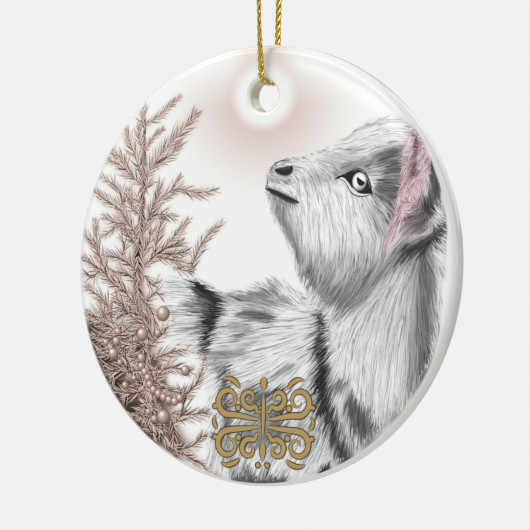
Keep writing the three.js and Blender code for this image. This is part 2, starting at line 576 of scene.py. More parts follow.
HEAD_AND_NECK = smooth_ring([
    (0.5, 13.6), (1.0, 15.0), (2.2, 16.7), (4.2, 17.5), (8.0, 18.1), (12.0, 19.1), (15.5, 20.7),
    (19.0, 22.8), (22.5, 23.9), (25.4, 23.8), (27.0, 22.4), (28.3, 23.2), (30.4, 20.2),
    (32.6, 16.2), (34.4, 11.8), (35.5, 7.6), (34.8, 3.4), (33.6, 0.0), (33.2, -5.0),
    (33.5, -10.4), (36.5, -14.0), (34.0, -20.0), (28.0, -26.0), (22.6, -24.6), (20.0, -21.4),
    (17.6, -18.2), (15.8, -14.4), (14.6, -10.4), (13.2, -7.2), (11.2, -5.0), (8.6, -2.0),
    (6.8, 0.8), (5.4, 3.8), (3.4, 6.6), (1.9, 8.6), (1.3, 10.4), (0.9, 12.0),
])
BODY = smooth_ring([
    (-17.5, -2.6), (-14.0, -2.3), (-11.0, -3.0), (-8.2, -4.3), (-4.0, -4.6), (-1.0, -4.2),
    (1.2, -2.8), (4.2, -2.8), (7.0, -4.2), (9.6, -6.2), (12.4, -7.4), (13.1, -10.6),
    (14.2, -14.8), (16.0, -17.8), (18.4, -20.0), (21.0, -21.8), (23.4, -24.4), (26.0, -29.0),
    (18.0, -36.0), (4.0, -38.0), (-8.0, -37.0), (-9.6, -30.0), (-9.0, -24.0), (-9.6, -18.6),
    (-11.4, -14.6), (-15.6, -13.4), (-17.2, -8.0),
])
EAR = smooth_ring([
    (28.4, 23.0), (27.6, 21.4), (26.6, 19.6), (26.2, 16.8), (26.0, 13.8), (25.6, 11.4),
    (24.7, 9.0), (24.0, 6.4), (23.3, 3.4), (24.2, 3.0), (25.6, 4.6), (27.0, 7.2), (28.6, 9.8),
    (30.2, 12.6), (31.2, 15.4), (31.2, 18.0), (30.2, 20.6),
])

# Tones of the goat, back to front

HEAD_DABS = [
    dab("#f0f1f1", 0.95, 2.3, (3.4, 14.6), (7.4, 16.0)),
    dab("#808284", 0.65, 0.7, (1.7, 15.6), (2.6, 16.4), (4.4, 16.8)),
    dab("#77797b", 0.65, 0.45, (5.3, 15.0), (6.0, 15.9)),
    dab("#eef0f0", 0.85, 0.5, (3.0, 16.5), (4.6, 16.6)),
    dab("#9d9fa1", 0.70, 0.7, (1.4, 14.4), (3.4, 14.2), (5.0, 13.8)),
    dab("#5b5d5f", 0.80, 0.7, (1.3, 12.3), (3.6, 11.4), (6.2, 10.4)),
    dab("#9a9c9e", 0.70, 1.0, (2.4, 10.6), (5.0, 9.6)),
    dab("#f3f4f4", 0.95, 1.9, (8.6, 17.6), (14.0, 19.6), (19.0, 21.8), (25.0, 22.2)),
    dab("#bbbdbe", 0.70, 1.1, (12.0, 17.0), (15.0, 17.0), (17.6, 18.4)),
    dab("#aeb0b2", 0.75, 1.3, (9.6, 14.2), (12.6, 14.2)),
    dab("#fbfbfb", 0.90, 2.6, (9.4, 9.8), (13.0, 9.4), (16.6, 8.4)),
    dab("#848688", 0.85, 0.8, (14.0, 15.0), (17.0, 16.2), (19.4, 16.5), (21.0, 15.2)),
    dab("#686a6c", 0.92, 1.2, (21.8, 17.2), (23.4, 17.7), (26.0, 18.3)),
    dab("#5a5c5d", 0.90, 1.7, (23.6, 16.2), (26.2, 15.4)),
    dab("#66686a", 0.88, 1.6, (23.6, 13.4), (26.2, 12.4)),
    dab("#cfd1d1", 0.80, 0.55, (21.2, 15.4), (21.7, 13.8), (21.9, 12.6)),
    dab("#737577", 0.85, 0.9, (21.6, 11.4), (24.6, 10.2)),
    dab("#b0b1b2", 0.75, 2.1, (21.6, 9.0), (22.4, 5.6)),
    dab("#56585a", 0.85, 1.5, (22.6, 12.6), (25.0, 11.6)),
    dab("#7a7c7e", 0.75, 1.6, (16.4, -6.6), (20.0, -5.4)),
    dab("#4e4d50", 0.90, 0.55, (25.3, 10.8), (24.4, 8.6), (23.6, 6.0)),
    dab("#8d8f91", 0.88, 1.2, (3.4, 9.0), (4.8, 6.8), (6.4, 3.6), (8.0, 0.4)),
    dab("#7d7f81", 0.50, 0.6, (3.1, 8.4), (4.8, 6.0), (6.0, 3.6), (7.4, 1.0)),
    dab("#dcdddf", 0.80, 0.45, (5.8, 9.2), (6.9, 6.0), (8.0, 3.2)),
    dab("#a7a8a9", 0.80, 2.4, (9.6, 0.0), (14.0, -1.0), (20.0, 0.8)),
    dab("#77797a", 0.90, 2.0, (9.2, -1.6), (12.4, -4.0), (15.6, -5.8)),
    dab("#7f8081", 0.85, 2.3, (16.4, -4.4), (20.0, -2.8), (24.0, -0.2), (27.0, 1.4)),
]
NECK_DABS = [
    dab("#eff1f1", 0.95, 1.2, (14.8, -9.8), (15.4, -13.0), (16.8, -17.0), (19.2, -20.6)),
    dab("#cbccca", 0.80, 2.2, (21.0, -7.2), (25.0, -6.2), (24.6, -14.0)),
    dab("#e4e5e5", 0.80, 2.4, (18.2, -12.0), (20.6, -17.0)),
    dab("#a2a4a3", 0.80, 1.7, (28.6, -2.0), (28.8, -10.0), (28.4, -20.0)),
    dab("#676a69", 0.93, 1.8, (30.8, 1.4), (31.2, -4.0), (31.0, -11.0), (30.6, -18.0)),
    dab("#f1f2f2", 0.95, 1.2, (35.6, 0.0), (35.0, -6.0), (34.8, -10.4), (35.4, -13.0)),
    dab("#9a9c9c", 0.75, 2.0, (18.6, -22.0), (22.0, -26.0), (26.4, -24.0)),
    dab("#2f3131", 0.96, 1.35, (27.2, 2.2), (30.0, 2.8), (32.2, 4.1), (33.6, 6.0)),
    dab("#525454", 0.88, 0.8, (34.7, 10.4), (34.6, 8.0)),
    dab("#3f4242", 0.95, 1.3, (31.8, 17.6), (32.5, 14.4), (32.1, 11.6), (31.4, 9.4)),
    dab("#262727", 0.92, 0.9, (30.7, 9.6), (31.4, 8.3)),
    dab("#4c4f4f", 0.90, 0.8, (33.1, 13.6), (32.9, 10.8)),
    dab("#e2e4e3", 0.90, 0.65, (34.4, 12.0), (33.6, 9.6), (32.7, 7.0), (30.7, 5.1)),
]
EAR_DABS = [
    dab("#e6ccd2", 0.90, 0.5, (27.5, 20.6), (26.9, 17.6), (26.8, 14.6)),
    dab("#e1c0c8", 0.85, 0.7, (30.3, 18.4), (30.3, 15.6), (29.2, 13.6)),
    dab("#b8979f", 0.70, 0.5, (27.8, 18.6), (27.6, 15.0), (27.0, 12.6)),
    dab("#4d2c36", 0.97, 0.50, (28.9, 22.2), (28.7, 18.6), (28.4, 14.4)),
    dab("#8a6670", 0.70, 0.35, (29.3, 21.2), (29.9, 19.4)),
    dab("#dfbdc6", 0.90, 0.7, (28.5, 12.2), (26.4, 8.8), (24.6, 4.8)),
]
UNDER_EAR_DABS = [
    dab("#6b565c", 0.88, 1.5, (27.8, 9.2), (28.2, 6.4)),
    dab("#63585c", 0.85, 1.3, (30.3, 7.6), (29.8, 5.8)),
    dab("#5f565a", 0.70, 0.9, (29.8, 10.8), (30.0, 7.4)),
    dab("#a98f97", 0.60, 0.9, (26.4, 5.0), (27.6, 4.2)),
]
BODY_DABS = [
    dab("#56595a", 0.75, 1.9, (-11.2, -5.4), (-9.8, -7.8), (-10.4, -10.4)),
    dab("#1c1e1e", 0.98, 1.15, (-12.6, -3.2), (-10.0, -4.5), (-8.4, -6.0), (-8.6, -7.6),
        (-9.6, -9.4)),
    dab("#2a2c2c", 0.92, 0.9, (-9.8, -9.4), (-10.2, -12.0), (-10.5, -14.0)),
    dab("#85888a", 0.70, 0.7, (-14.6, -6.6), (-11.4, -7.4)),
    dab("#8e9092", 0.60, 0.6, (-14.4, -10.6), (-11.4, -10.4)),
    dab("#85888a", 0.82, 1.0, (-5.6, -5.0), (-2.6, -5.3), (0.2, -5.0), (2.4, -4.0)),
    dab("#989a9c", 0.75, 0.9, (-0.5, -6.4), (4.4, -5.8)),
    dab("#66686a", 0.85, 1.1, (-2.8, -8.2), (0.6, -8.5), (2.0, -8.9)),
    dab("#9a9c9e", 0.75, 0.8, (-6.0, -10.0), (-2.2, -10.5)),
    dab("#808284", 0.80, 0.6, (-5.0, -12.2), (-2.2, -11.5)),
    dab("#9c9fa0", 0.75, 1.0, (-9.4, -15.0), (-5.0, -14.6), (-2.6, -14.2)),
    dab("#8a8c8e", 0.75, 0.8, (-8.4, -17.0), (-6.0, -16.7)),
    dab("#54565a", 0.90, 0.9, (-6.5, -18.0), (-6.2, -22.0), (-6.0, -27.4)),
    dab("#96989a", 0.70, 0.7, (2.2, -18.6), (6.2, -16.6)),
    dab("#4f5154", 0.85, 0.8, (3.4, -20.8), (5.2, -20.6)),
    dab("#2b2c2e", 0.85, 0.9, (4.2, -23.0), (4.7, -26.6)),
    dab("#454849", 0.95, 1.2, (11.5, -8.4), (11.8, -10.8), (11.3, -13.6)),
    dab("#1f2122", 0.95, 1.55, (11.8, -15.0), (12.2, -18.0), (11.7, -20.4), (12.6, -23.2)),
    dab("#3b3d3f", 0.92, 1.6, (13.0, -23.6), (14.4, -27.0), (16.2, -31.2)),
    dab("#6b6d70", 0.75, 1.8, (17.8, -22.6), (20.6, -24.6), (20.0, -28.0)),
    dab("#75777a", 0.80, 1.0, (14.6, -19.8), (16.4, -19.2)),
    dab("#65676a", 0.88, 1.1, (18.3, -20.8), (19.0, -23.0), (19.8, -26.4)),
    dab("#737577", 0.82, 1.3, (21.2, -23.0), (21.6, -26.4)),
    dab("#7b7d7f", 0.78, 2.2, (-1.0, -22.6), (3.6, -28.2), (-2.4, -28.4)),
    dab("#616365", 0.85, 0.8, (-2.4, -33.2), (-1.3, -35.2)),
    dab("#4a4c4e", 0.85, 0.7, (-4.6, -35.3), (0.0, -35.9), (4.8, -35.4)),
    dab("#e6e8ea", 0.80, 0.9, (6.4, -23.4), (7.0, -25.4)),
    dab("#606265", 0.85, 1.2, (17.4, -23.2), (18.2, -26.0)),
    dab("#5b5d60", 0.80, 1.3, (-1.2, -20.8), (1.4, -21.6)),
    dab("#6f7173", 0.80, 0.5, (1.6, -34.2), (2.2, -35.4)),
    dab("#202122", 0.96, 0.6, (12.0, -33.8), (13.1, -33.0)),
    dab("#94979a", 0.65, 1.3, (-7.4, -28.6), (-5.4, -32.4)),
    dab("#a4a6a8", 0.65, 1.5, (8.4, -26.6), (10.2, -30.4)),
]

# The fir tree: each twig is how dark it is, how long its needles are, and its stem's places

TRUNK = [
    (-23.5, 26.4), (-23.4, 20.0), (-23.4, 14.0), (-23.7, 8.0), (-24.1, 2.0), (-24.0, -4.0),
    (-22.9, -9.0), (-21.6, -14.0), (-22.4, -19.0), (-21.4, -24.0), (-20.4, -29.0),
]
TWIGS = [
    (0.55, 1.1, (-23.3, 23.8), (-21.0, 24.9), (-18.8, 26.6), (-16.6, 28.2)),
    (0.75, 1.3, (-23.4, 23.0), (-24.0, 24.6), (-24.0, 26.2)),
    (0.60, 1.0, (-23.2, 19.4), (-22.0, 21.2), (-20.0, 22.8)),
    (0.72, 1.9, (-23.3, 14.6), (-20.8, 17.8), (-17.8, 20.8), (-15.4, 23.0), (-13.5, 25.2)),
    (0.62, 1.4, (-21.6, 16.6), (-18.8, 18.0), (-16.2, 20.2)),
    (0.78, 1.6, (-23.6, 15.0), (-25.2, 18.4), (-26.6, 21.4), (-27.4, 22.8)),
    (0.70, 1.1, (-23.8, 19.6), (-24.6, 22.0), (-24.6, 23.8)),
    (0.85, 1.7, (-24.0, 13.6), (-26.4, 15.6), (-28.6, 17.2), (-30.6, 18.0)),
    (0.70, 1.3, (-26.4, 15.6), (-27.8, 18.0), (-29.8, 19.2)),
    (0.70, 1.4, (-23.4, 10.2), (-25.2, 11.2), (-26.6, 11.0)),
    (0.60, 1.1, (-23.4, 12.6), (-22.4, 13.6), (-21.8, 14.0)),
    (0.85, 1.6, (-24.1, 4.4), (-26.4, 7.2), (-27.8, 9.2), (-30.4, 10.8), (-33.6, 12.6)),
    (0.75, 1.3, (-28.0, 9.2), (-27.8, 11.8), (-29.6, 13.8), (-31.8, 14.8)),
    (0.82, 1.3, (-26.6, 7.0), (-28.8, 7.2), (-31.0, 8.0)),
    (0.75, 1.1, (-28.4, 6.8), (-30.2, 5.6), (-31.2, 5.2)),
    (0.80, 1.4, (-24.1, 3.0), (-26.0, 4.8), (-27.4, 6.4)),
    (0.82, 1.5, (-23.7, 5.0), (-22.4, 7.6), (-21.2, 10.4), (-20.2, 13.6)),
    (0.72, 1.5, (-21.5, 9.6), (-19.4, 11.6), (-16.6, 12.8), (-13.0, 12.2), (-9.6, 12.4)),
    (0.60, 0.9, (-17.6, 12.4), (-17.0, 13.8), (-16.2, 14.8)),
    (0.75, 1.5, (-22.4, 7.8), (-20.0, 8.6), (-17.6, 8.2)),
    (0.95, 1.5, (-23.0, -0.2), (-20.6, 1.8), (-18.2, 3.0), (-15.8, 3.8)),
    (0.80, 1.5, (-21.0, 1.6), (-20.4, 4.6), (-19.6, 8.0)),
    (0.65, 1.2, (-19.0, 2.9), (-17.0, 5.0), (-14.6, 7.4)),
    (0.85, 1.3, (-20.2, 1.9), (-17.0, 1.9), (-14.4, 2.4)),
    (0.75, 1.2, (-20.8, 1.4), (-17.0, 0.9), (-13.8, 0.2)),
    (0.70, 1.3, (-13.8, -1.2), (-12.8, 1.4), (-11.0, 4.4), (-8.2, 6.8)),
    (0.60, 1.2, (-17.2, -0.2), (-15.4, -0.8), (-13.6, -1.0)),
    (0.80, 1.5, (-30.4, -1.8), (-32.2, 1.8), (-34.0, 4.2), (-35.3, 5.2)),
    (0.60, 1.2, (-32.4, 2.2), (-32.8, 5.2), (-33.2, 7.4)),
    (0.82, 1.6, (-25.8, -4.8), (-29.0, -3.2), (-31.6, -0.8), (-35.6, 1.2)),
    (0.80, 1.3, (-24.4, -6.8), (-26.8, -4.4), (-28.2, -2.4)),
    (0.75, 1.4, (-29.0, -9.0), (-31.0, -6.0), (-34.8, -3.6)),
    (0.85, 1.5, (-28.0, -11.2), (-31.0, -9.8), (-34.4, -8.2)),
    (0.85, 1.2, (-27.4, 1.8), (-27.0, 3.4), (-27.8, 4.4)),
    (0.75, 1.4, (-23.0, -1.6), (-21.4, -3.2), (-20.4, -2.6)),
    (0.72, 1.4, (-22.4, -6.0), (-20.6, -4.6), (-19.6, -5.0)),
    (0.70, 1.4, (-21.6, -13.6), (-19.0, -11.4), (-17.2, -9.6)),
    (0.70, 1.6, (-21.4, -16.0), (-18.0, -14.8), (-14.6, -14.0)),
    (0.65, 1.5, (-20.6, -17.8), (-17.4, -17.2), (-13.6, -17.6)),
    (0.85, 1.7, (-21.6, -18.4), (-18.6, -20.6), (-15.0, -21.4)),
    (0.72, 1.4, (-16.8, -22.8), (-13.2, -20.8), (-11.2, -17.8), (-10.8, -15.4)),
    (0.70, 1.5, (-17.0, -24.8), (-13.8, -25.0), (-9.8, -24.4)),
    (0.72, 1.4, (-16.4, -31.0), (-13.0, -30.2), (-11.0, -28.6), (-9.4, -28.2)),
    (0.85, 1.4, (-16.8, -30.0), (-13.6, -32.0), (-10.4, -33.4), (-8.8, -34.6)),
    (0.80, 1.6, (-17.0, -25.6), (-16.4, -28.0), (-16.6, -30.4)),
    (0.85, 1.7, (-21.4, -23.0), (-19.2, -26.0), (-18.2, -29.6)),
    (0.95, 1.8, (-22.0, -21.0), (-25.0, -21.6), (-28.2, -21.2)),
    (0.95, 1.8, (-21.6, -23.8), (-24.2, -25.4), (-26.0, -25.0)),
    (0.90, 1.8, (-22.4, -17.4), (-26.0, -18.0), (-30.4, -17.8)),
    (0.90, 1.7, (-23.6, -13.0), (-27.0, -14.4), (-32.0, -14.2)),
    (0.88, 1.6, (-25.0, -10.0), (-29.0, -12.2), (-33.6, -11.8)),
    (0.80, 1.5, (-23.2, -10.0), (-26.0, -8.2), (-28.4, -6.0)),
    (0.90, 1.7, (-21.0, -27.0), (-23.4, -28.4), (-20.6, -30.0)),
    (0.80, 1.5, (-22.2, -12.6), (-23.6, -15.0), (-25.8, -16.6)),
    (0.75, 1.5, (-20.8, -20.2), (-19.4, -18.2), (-17.6, -16.6)),
    (0.85, 1.5, (-24.2, -1.2), (-27.0, 0.8), (-30.2, 1.8)),
    (0.80, 1.5, (-24.0, -3.0), (-26.6, -1.4), (-29.6, -1.0)),
    (0.85, 1.5, (-23.6, -5.4), (-21.4, -7.6), (-20.4, -10.2)),
    (0.85, 1.4, (-23.0, -8.6), (-25.6, -8.0), (-28.0, -8.6)),
    (0.80, 1.4, (-24.2, 1.0), (-22.4, 3.4), (-21.6, 5.6)),
    (0.75, 1.4, (-24.0, 8.6), (-25.6, 9.6), (-26.4, 12.4)),
    (0.80, 1.6, (-31.8, -0.6), (-33.4, -2.0), (-34.8, -1.6)),
]
TREE_DABS = [
    dab("#a88c81", 0.65, 1.5, (-24.2, 4.0), (-24.4, -3.0), (-22.8, -9.0)),
    dab("#9d8075", 0.72, 2.4, (-23.4, -9.0), (-22.0, -18.0), (-19.6, -26.0)),
    dab("#6a4d42", 0.88, 3.0, (-29.6, -13.0), (-26.0, -18.6), (-21.0, -25.6)),
    dab("#33211b", 0.95, 2.0, (-33.0, -11.0), (-30.2, -17.6), (-26.2, -23.0), (-20.4, -28.8)),
    dab("#6a5046", 0.85, 0.8, (-24.0, 6.0), (-24.2, -3.0), (-23.0, -9.0), (-22.0, -16.0)),
    dab("#5d433a", 0.85, 1.9, (-21.0, -23.0), (-18.0, -27.0), (-15.6, -30.2)),
    dab("#3e2a24", 0.85, 0.8, (-24.4, -24.4), (-22.4, -26.0)),
    dab("#3e2a24", 0.85, 0.7, (-19.6, -28.2), (-17.6, -30.6)),
    dab("#4a342c", 0.80, 0.6, (-28.6, -17.6), (-29.6, -18.6)),
    dab("#3a261f", 0.85, 1.1, (-23.6, -14.0), (-22.6, -18.0), (-20.4, -21.4), (-17.4, -22.6)),
    dab("#4a332b", 0.80, 0.9, (-21.4, -15.6), (-19.6, -17.6), (-18.8, -20.0)),
    dab("#e5d8d4", 0.70, 1.5, (-18.9, -8.4), (-18.0, -10.4)),
]
BAUBLES = [  # right, up, radius
    (-23.1, -11.6, 1.15), (-23.2, -15.6, 0.85), (-26.4, -20.2, 0.65), (-19.0, -8.1, 1.3),
    (-18.6, -25.4, 1.25), (-28.0, -11.2, 0.7), (-28.3, -12.8, 0.8), (-28.9, -14.9, 1.0),
    (-30.4, -13.0, 0.6), (-27.5, -16.4, 0.55), (-21.6, -24.6, 0.6), (-20.4, -25.8, 0.7),
    (-14.4, -17.6, 0.9), (-20.0, -11.4, 0.7), (-24.6, -19.0, 0.55),
]
BEADS = smooth_line([
    (-23.2, -17.0), (-22.0, -18.6), (-21.2, -20.4), (-19.6, -21.6), (-18.0, -22.4),
    (-16.4, -22.8), (-15.4, -22.2),
])
BEAD_STEP = 1.05
BEAD_RADIUS = 0.72

GLOW_CLEAR = 4.0  # white ring left round the hole
GLOW_PEAK = 6.4  # the glow is strongest this far from the hole's middle
GLOW_REACH = 18.0
GLOW_FALL = 1.35
GLOW_WIDENED = 0.93
GLOW_TOP = 26.0  # above this the glow fades, most of all to the sides
GLOW_TOP_FADE = 7.0
GLOW_TOP_LOSS = 0.35  # what it loses straight above the hole
GLOW_SIDES_FROM = 3.0
GLOW_SIDES_FADE = 4.5
GLOW_SIDES_LOSS = 0.55  # and how much more it loses beside that
GLOW_PINK = "#dbc8c5"
TREE_HAZE = "#cbb2a8"  # soft tone round each twig
HAZE_STRENGTH = 0.35
HAZE_REACH = 0.7  # for each millimetre of needle
BODY_WHITE = "#eceeef"
BODY_CONTRAST = 1.3
HEAD_WHITE = "#f1f2f3"
HEAD_CONTRAST = 1.02
EAR_PINK = "#dcb3bd"
BODY_SOFT = 0.8  # half widths of the soft edges of the outlines
HEAD_SOFT = 0.35
EAR_SOFT = 0.2
RIM_SOFT = 0.4
PRINT_LIMIT = 36.0  # no stroke goes past this distance from the middle of the print
KID_LIMIT = 35.0  # the kid ends this far from the disc's middle, and further out high and low
KID_LIMIT_RISE = 0.05


def fur_limit(v):
    """How far from the disc's middle the kid is drawn: least beside the middle."""
    return np.minimum(KID_LIMIT + KID_LIMIT_RISE * np.abs(v), PRINT_LIMIT)


def hole_glow(u, v):
    """Strength of the pink glow, from 0 to 1: a soft ring round the hole."""
    away = np.hypot(u * GLOW_WIDENED, v - disc_sizes()[2])
    rise = eased(np.clip((away - GLOW_CLEAR) / (GLOW_PEAK - GLOW_CLEAR), 0, 1))
    fall = np.clip((GLOW_REACH - away) / (GLOW_REACH - GLOW_PEAK), 0, 1)
    above = np.clip((v - GLOW_TOP) / GLOW_TOP_FADE, 0, 1)
    beside = np.clip((np.abs(u) - GLOW_SIDES_FROM) / GLOW_SIDES_FADE, 0, 1)
    return rise * fall ** GLOW_FALL * (1 - above * (GLOW_TOP_LOSS + GLOW_SIDES_LOSS * beside))


def base_picture(u, v):
    """sRGB colours of the print's ground: paper, glow, tree haze and the tones of the kid."""
    colours = np.ones((*u.shape, 3)) * encoded(PAPER)
    colours += (encoded(GLOW_PINK) - colours) * hole_glow(u, v)[..., None]
    for dark, needle, *stem in TWIGS:
        strength, reach = HAZE_STRENGTH * dark, needle * HAZE_REACH
        smear(colours, u, v, [(encoded(TREE_HAZE), strength, reach, np.array(stem, float))])
    smear(colours, u, v, TREE_DABS)
    body = soft_mask(u, v, BODY, BODY_SOFT)
    painted = smear(colours * 0 + encoded(BODY_WHITE), u, v, BODY_DABS) ** BODY_CONTRAST
    colours += (painted - colours) * body[..., None]
    head = soft_mask(u, v, HEAD_AND_NECK, HEAD_SOFT)
    head *= np.clip((fur_limit(v) - np.hypot(u, v)) / RIM_SOFT, 0, 1)
    painted = smear(colours * 0 + encoded(HEAD_WHITE), u, v, HEAD_DABS + NECK_DABS)
    painted **= HEAD_CONTRAST
    smear(painted, u, v, UNDER_EAR_DABS)
    ear = soft_mask(u, v, EAR, EAR_SOFT)
    pink = smear(colours * 0 + encoded(EAR_PINK), u, v, EAR_DABS)
    painted += (pink - painted) * ear[..., None]
    colours += (painted - colours) * head[..., None]
    return np.clip(colours, 0, 1)


# ---------------------------------------------------------------------------------------------
# Strokes and small printed shapes
# ---------------------------------------------------------------------------------------------

STATIONS = 6  # places along a stroke
LAYERS = 40  # strokes are laid over each other in this many even steps
LAYER_STEP = 0.0003
LAYER_STRIDE = 17  # neighbours in a list land on far apart layers
PRINT_MIDDLE = np.array((-0.2, 0.15))  # the sheet was pressed on slightly off the middle
BRUSH = np.array([0.45, 0.9, 1.0, 0.85, 0.5, 0.08])  # width along a stroke, root to tip
# How far each printed piece lies above the print's ground, in millimetres, lowest first. Real
# dye lies in one plane; the steps only keep the later strokes on top.
LIFTS = {
    "fur_body_under": 0.004, "fir_stems": 0.006, "fir_needles_back": 0.010,
    "fir_needles_middle": 0.014, "fur_body": 0.016, "fir_needles_front": 0.018,
    "fir_stems_over": 0.022, "fur_body_edge": 0.028, "fur_head_under": 0.030,
    "tree_baubles": 0.040, "fur_head": 0.042, "fur_head_edge": 0.054, "fur_ear": 0.056,
    "kid_nose_haze": 0.056, "flourish_outline": 0.056, "flourish_outline_dots": 0.056,
    "kid_eye": 0.060, "kid_iris": 0.064, "kid_nose_shade": 0.064, "kid_pupil": 0.068,
    "flourish_gold": 0.070, "flourish_gold_dots": 0.070, "kid_lids": 0.072,
    "kid_nose_and_mouth": 0.072,
}
SHORTENED = 0.6  # what is left of a stroke each time it is cut back from the rim


def draws(step):
    """A seeded source of small differences for one group of strokes."""
    return np.random.default_rng(bpy.context.scene.ornament_picture.seed * 1000 + step)


def curved_strokes(start, angle, reach, bend):
    """Lines of STATIONS places that leave start at an angle and turn as they go."""
    t = np.linspace(0, 1, STATIONS)
    heading = angle[:, None] + bend[:, None] * (t[None, 1:] - 0.5)
    step = (reach / (STATIONS - 1))[:, None]
    u = np.cumsum(np.cos(heading) * step, axis=1)
    v = np.cumsum(np.sin(heading) * step, axis=1)
    lines = np.repeat(np.asarray(start, float)[:, None], STATIONS, axis=1)
    lines[:, 1:, 0] += u
    lines[:, 1:, 1] += v
    return lines


def off_middle(places):
    """Distance of each place from the middle of the print."""
    return np.hypot(places[..., 0] - PRINT_MIDDLE[0], places[..., 1] - PRINT_MIDDLE[1])


def kept_on_disc(lines, *others, limit=None):
    """Strokes shortened where they would run off the print; the few that can't be are left out."""
    def over_run():
        reach = PRINT_LIMIT if limit is None else limit(lines[..., 1])
        return (off_middle(lines) - reach).max(1)

    for _ in range(3):
        over = over_run() > 0
        lines[over] = lines[over, :1] + (lines[over] - lines[over, :1]) * SHORTENED
    keep = over_run() <= 0
    return (lines[keep], *(other[keep] for other in others))


def ribbons(name, lines, widths, pigments, material, brush=BRUSH):
    """Narrow ribbons along lines, tapered by brush, each in its own colour (sRGB)."""
    count, stations, _ = lines.shape
    along = np.gradient(lines, axis=1)
    along /= np.maximum(np.linalg.norm(along, axis=2, keepdims=True), 1e-9)
    side = np.stack([-along[..., 1], along[..., 0]], -1)
    half = np.asarray(widths)[:, None, None] / 2 * brush[None, :, None]
    both = np.stack([lines - side * half, lines + side * half], 2)
    level = LIFTS[name] + (np.arange(count) * LAYER_STRIDE % LAYERS) * LAYER_STEP
    points = on_face(both[..., 0], both[..., 1], level[:, None, None]).reshape(-1, 3)
    base = (np.arange(count)[:, None] * stations + np.arange(stations - 1)) * 2
    faces = np.stack([base, base + 2, base + 3, base + 1], -1).reshape(-1, 4)
    shades = np.repeat(decoded(np.clip(pigments, 0, 1)), stations * 2, axis=0)
    return on_print(mesh_object(name, points, faces, material, shades))


def on_print(made):
    """Everything printed moves with the disc and gets the flat layout of the print."""
    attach(made, "disc")
    return flat_map(made)


def drawn(name, lines, material, stations=40, brush=None):
    """A few long drawn lines: each is its width, its hex colour and its places."""
    t = np.linspace(0, 1, stations)
    if brush is None:
        brush = np.clip(np.sin(np.pi * t) ** 0.45, 0.08, 1)
    paths = np.array([resampled(smooth_line(places), stations) for _, _, places in lines])
    widths = np.array([width for width, _, _ in lines])
    shades = np.array([encoded(text) for _, text, _ in lines])
    return ribbons(name, paths, widths, shades, material, brush)


def patch(name, ring, pigment, material):
    """A flat printed shape with a closed outline, one pigment a point (sRGB)."""
    ring = np.asarray(ring, float)
    flat = [Vector((u, v, 0)) for u, v in ring]
    faces = [list(face) for face in tessellate_polygon([flat])]
    for face in faces:
        a, b, c = (ring[i] for i in face)
        if (b[0] - a[0]) * (c[1] - a[1]) - (b[1] - a[1]) * (c[0] - a[0]) < 0:
            face.reverse()
    shades = decoded(np.ones((len(ring), 3)) * pigment)
    points = on_face(ring[:, 0], ring[:, 1], LIFTS[name])
    return on_print(mesh_object(name, points, faces, material, shades))


def domes(name, places, material, paint, sides=28, squash=1.0):
    """Round printed spots shaded as domes: paint gives a colour for each place inside, -1 to 1."""
    rings = np.array([0.04, 0.3, 0.55, 0.75, 0.88, 1.0])
    angle = np.linspace(0, 2 * np.pi, sides, endpoint=False)
    x, y = np.outer(rings, np.cos(angle)), np.outer(rings, np.sin(angle))
    one = sheet_faces(len(rings), sides, wrap_columns=True)
    points, faces, shades = [], [], []
    for k, (u, v, radius) in enumerate(places):
        level = LIFTS[name] + k % LAYERS * LAYER_STEP
        centre = on_face(np.array([u]), np.array([v]), level)
        faces += (one[:, ::-1] + len(points)).tolist()
        middle = len(points) + x.size
        first = len(points)
        faces += [[middle, first + i, first + (i + 1) % sides] for i in range(sides)]
        points += on_face(u + radius * x.ravel(), v + radius * squash * y.ravel(), level).tolist()
        points += centre.tolist()
        shades += paint(x.ravel(), y.ravel()).tolist() + paint(np.zeros(1), np.zeros(1)).tolist()
    return on_print(mesh_object(name, points, faces, material, decoded(np.array(shades))))


def blended(low, high, share):
    """Colours part of the way from one hex colour to another."""
    share = np.clip(np.asarray(share), 0, 1)[..., None]
    return encoded(low) * (1 - share) + encoded(high) * share


# ---------------------------------------------------------------------------------------------
# Ground of the print
# ---------------------------------------------------------------------------------------------

GROUND_SIDES = 640
GROUND_RINGS = 150
GLAZE_WHITE = "#f3f4f3"  # the ground's tone where it meets the bare glaze round the hole
MOUTH_MARGIN = 0.1  # the print stops this far from the rounded mouth of the hole
MOUTH_FADE = 0.6


def print_ground(material):
    """The coat over the whole face, from the hole to near the rim, with its even tones and a painted
    shade towards the rim.
    """
    *_, hole_v, hole_radius, mouth = disc_sizes()
    reach = RADIUS - bpy.context.scene.ornament_disc.print_reach / MM
    shares = np.linspace(0, 1, GROUND_RINGS)
    start = hole_radius + mouth + MOUTH_MARGIN
    u, v = between_rings(shares, start, hole_v, reach, GROUND_SIDES)
    u += PRINT_MIDDLE[0] * shares[:, None]
    v += PRINT_MIDDLE[1] * shares[:, None]
    colours = base_picture(u, v)
    glaze = encoded(GLAZE_WHITE)
    away = np.hypot(u, v - hole_v) - hole_radius - mouth
    colours += (glaze - colours) * np.clip(1 - away / MOUTH_FADE, 0, 1)[..., None]
    # painted shade: the print greys towards the rim as the glaze does
    tones = decoded(colours) * rim_painted_shade(np.hypot(u, v))[..., None]
    points = on_face(u, v).reshape(-1, 3)
    faces = sheet_faces(GROUND_RINGS, GROUND_SIDES, wrap_columns=True, flip=True)
    return on_print(mesh_object("print_ground", points, faces, material, tones.reshape(-1, 3)))


# ---------------------------------------------------------------------------------------------
# Fur: combs are (right, up, bearing in degrees, length) and the fur flows between them
# ---------------------------------------------------------------------------------------------

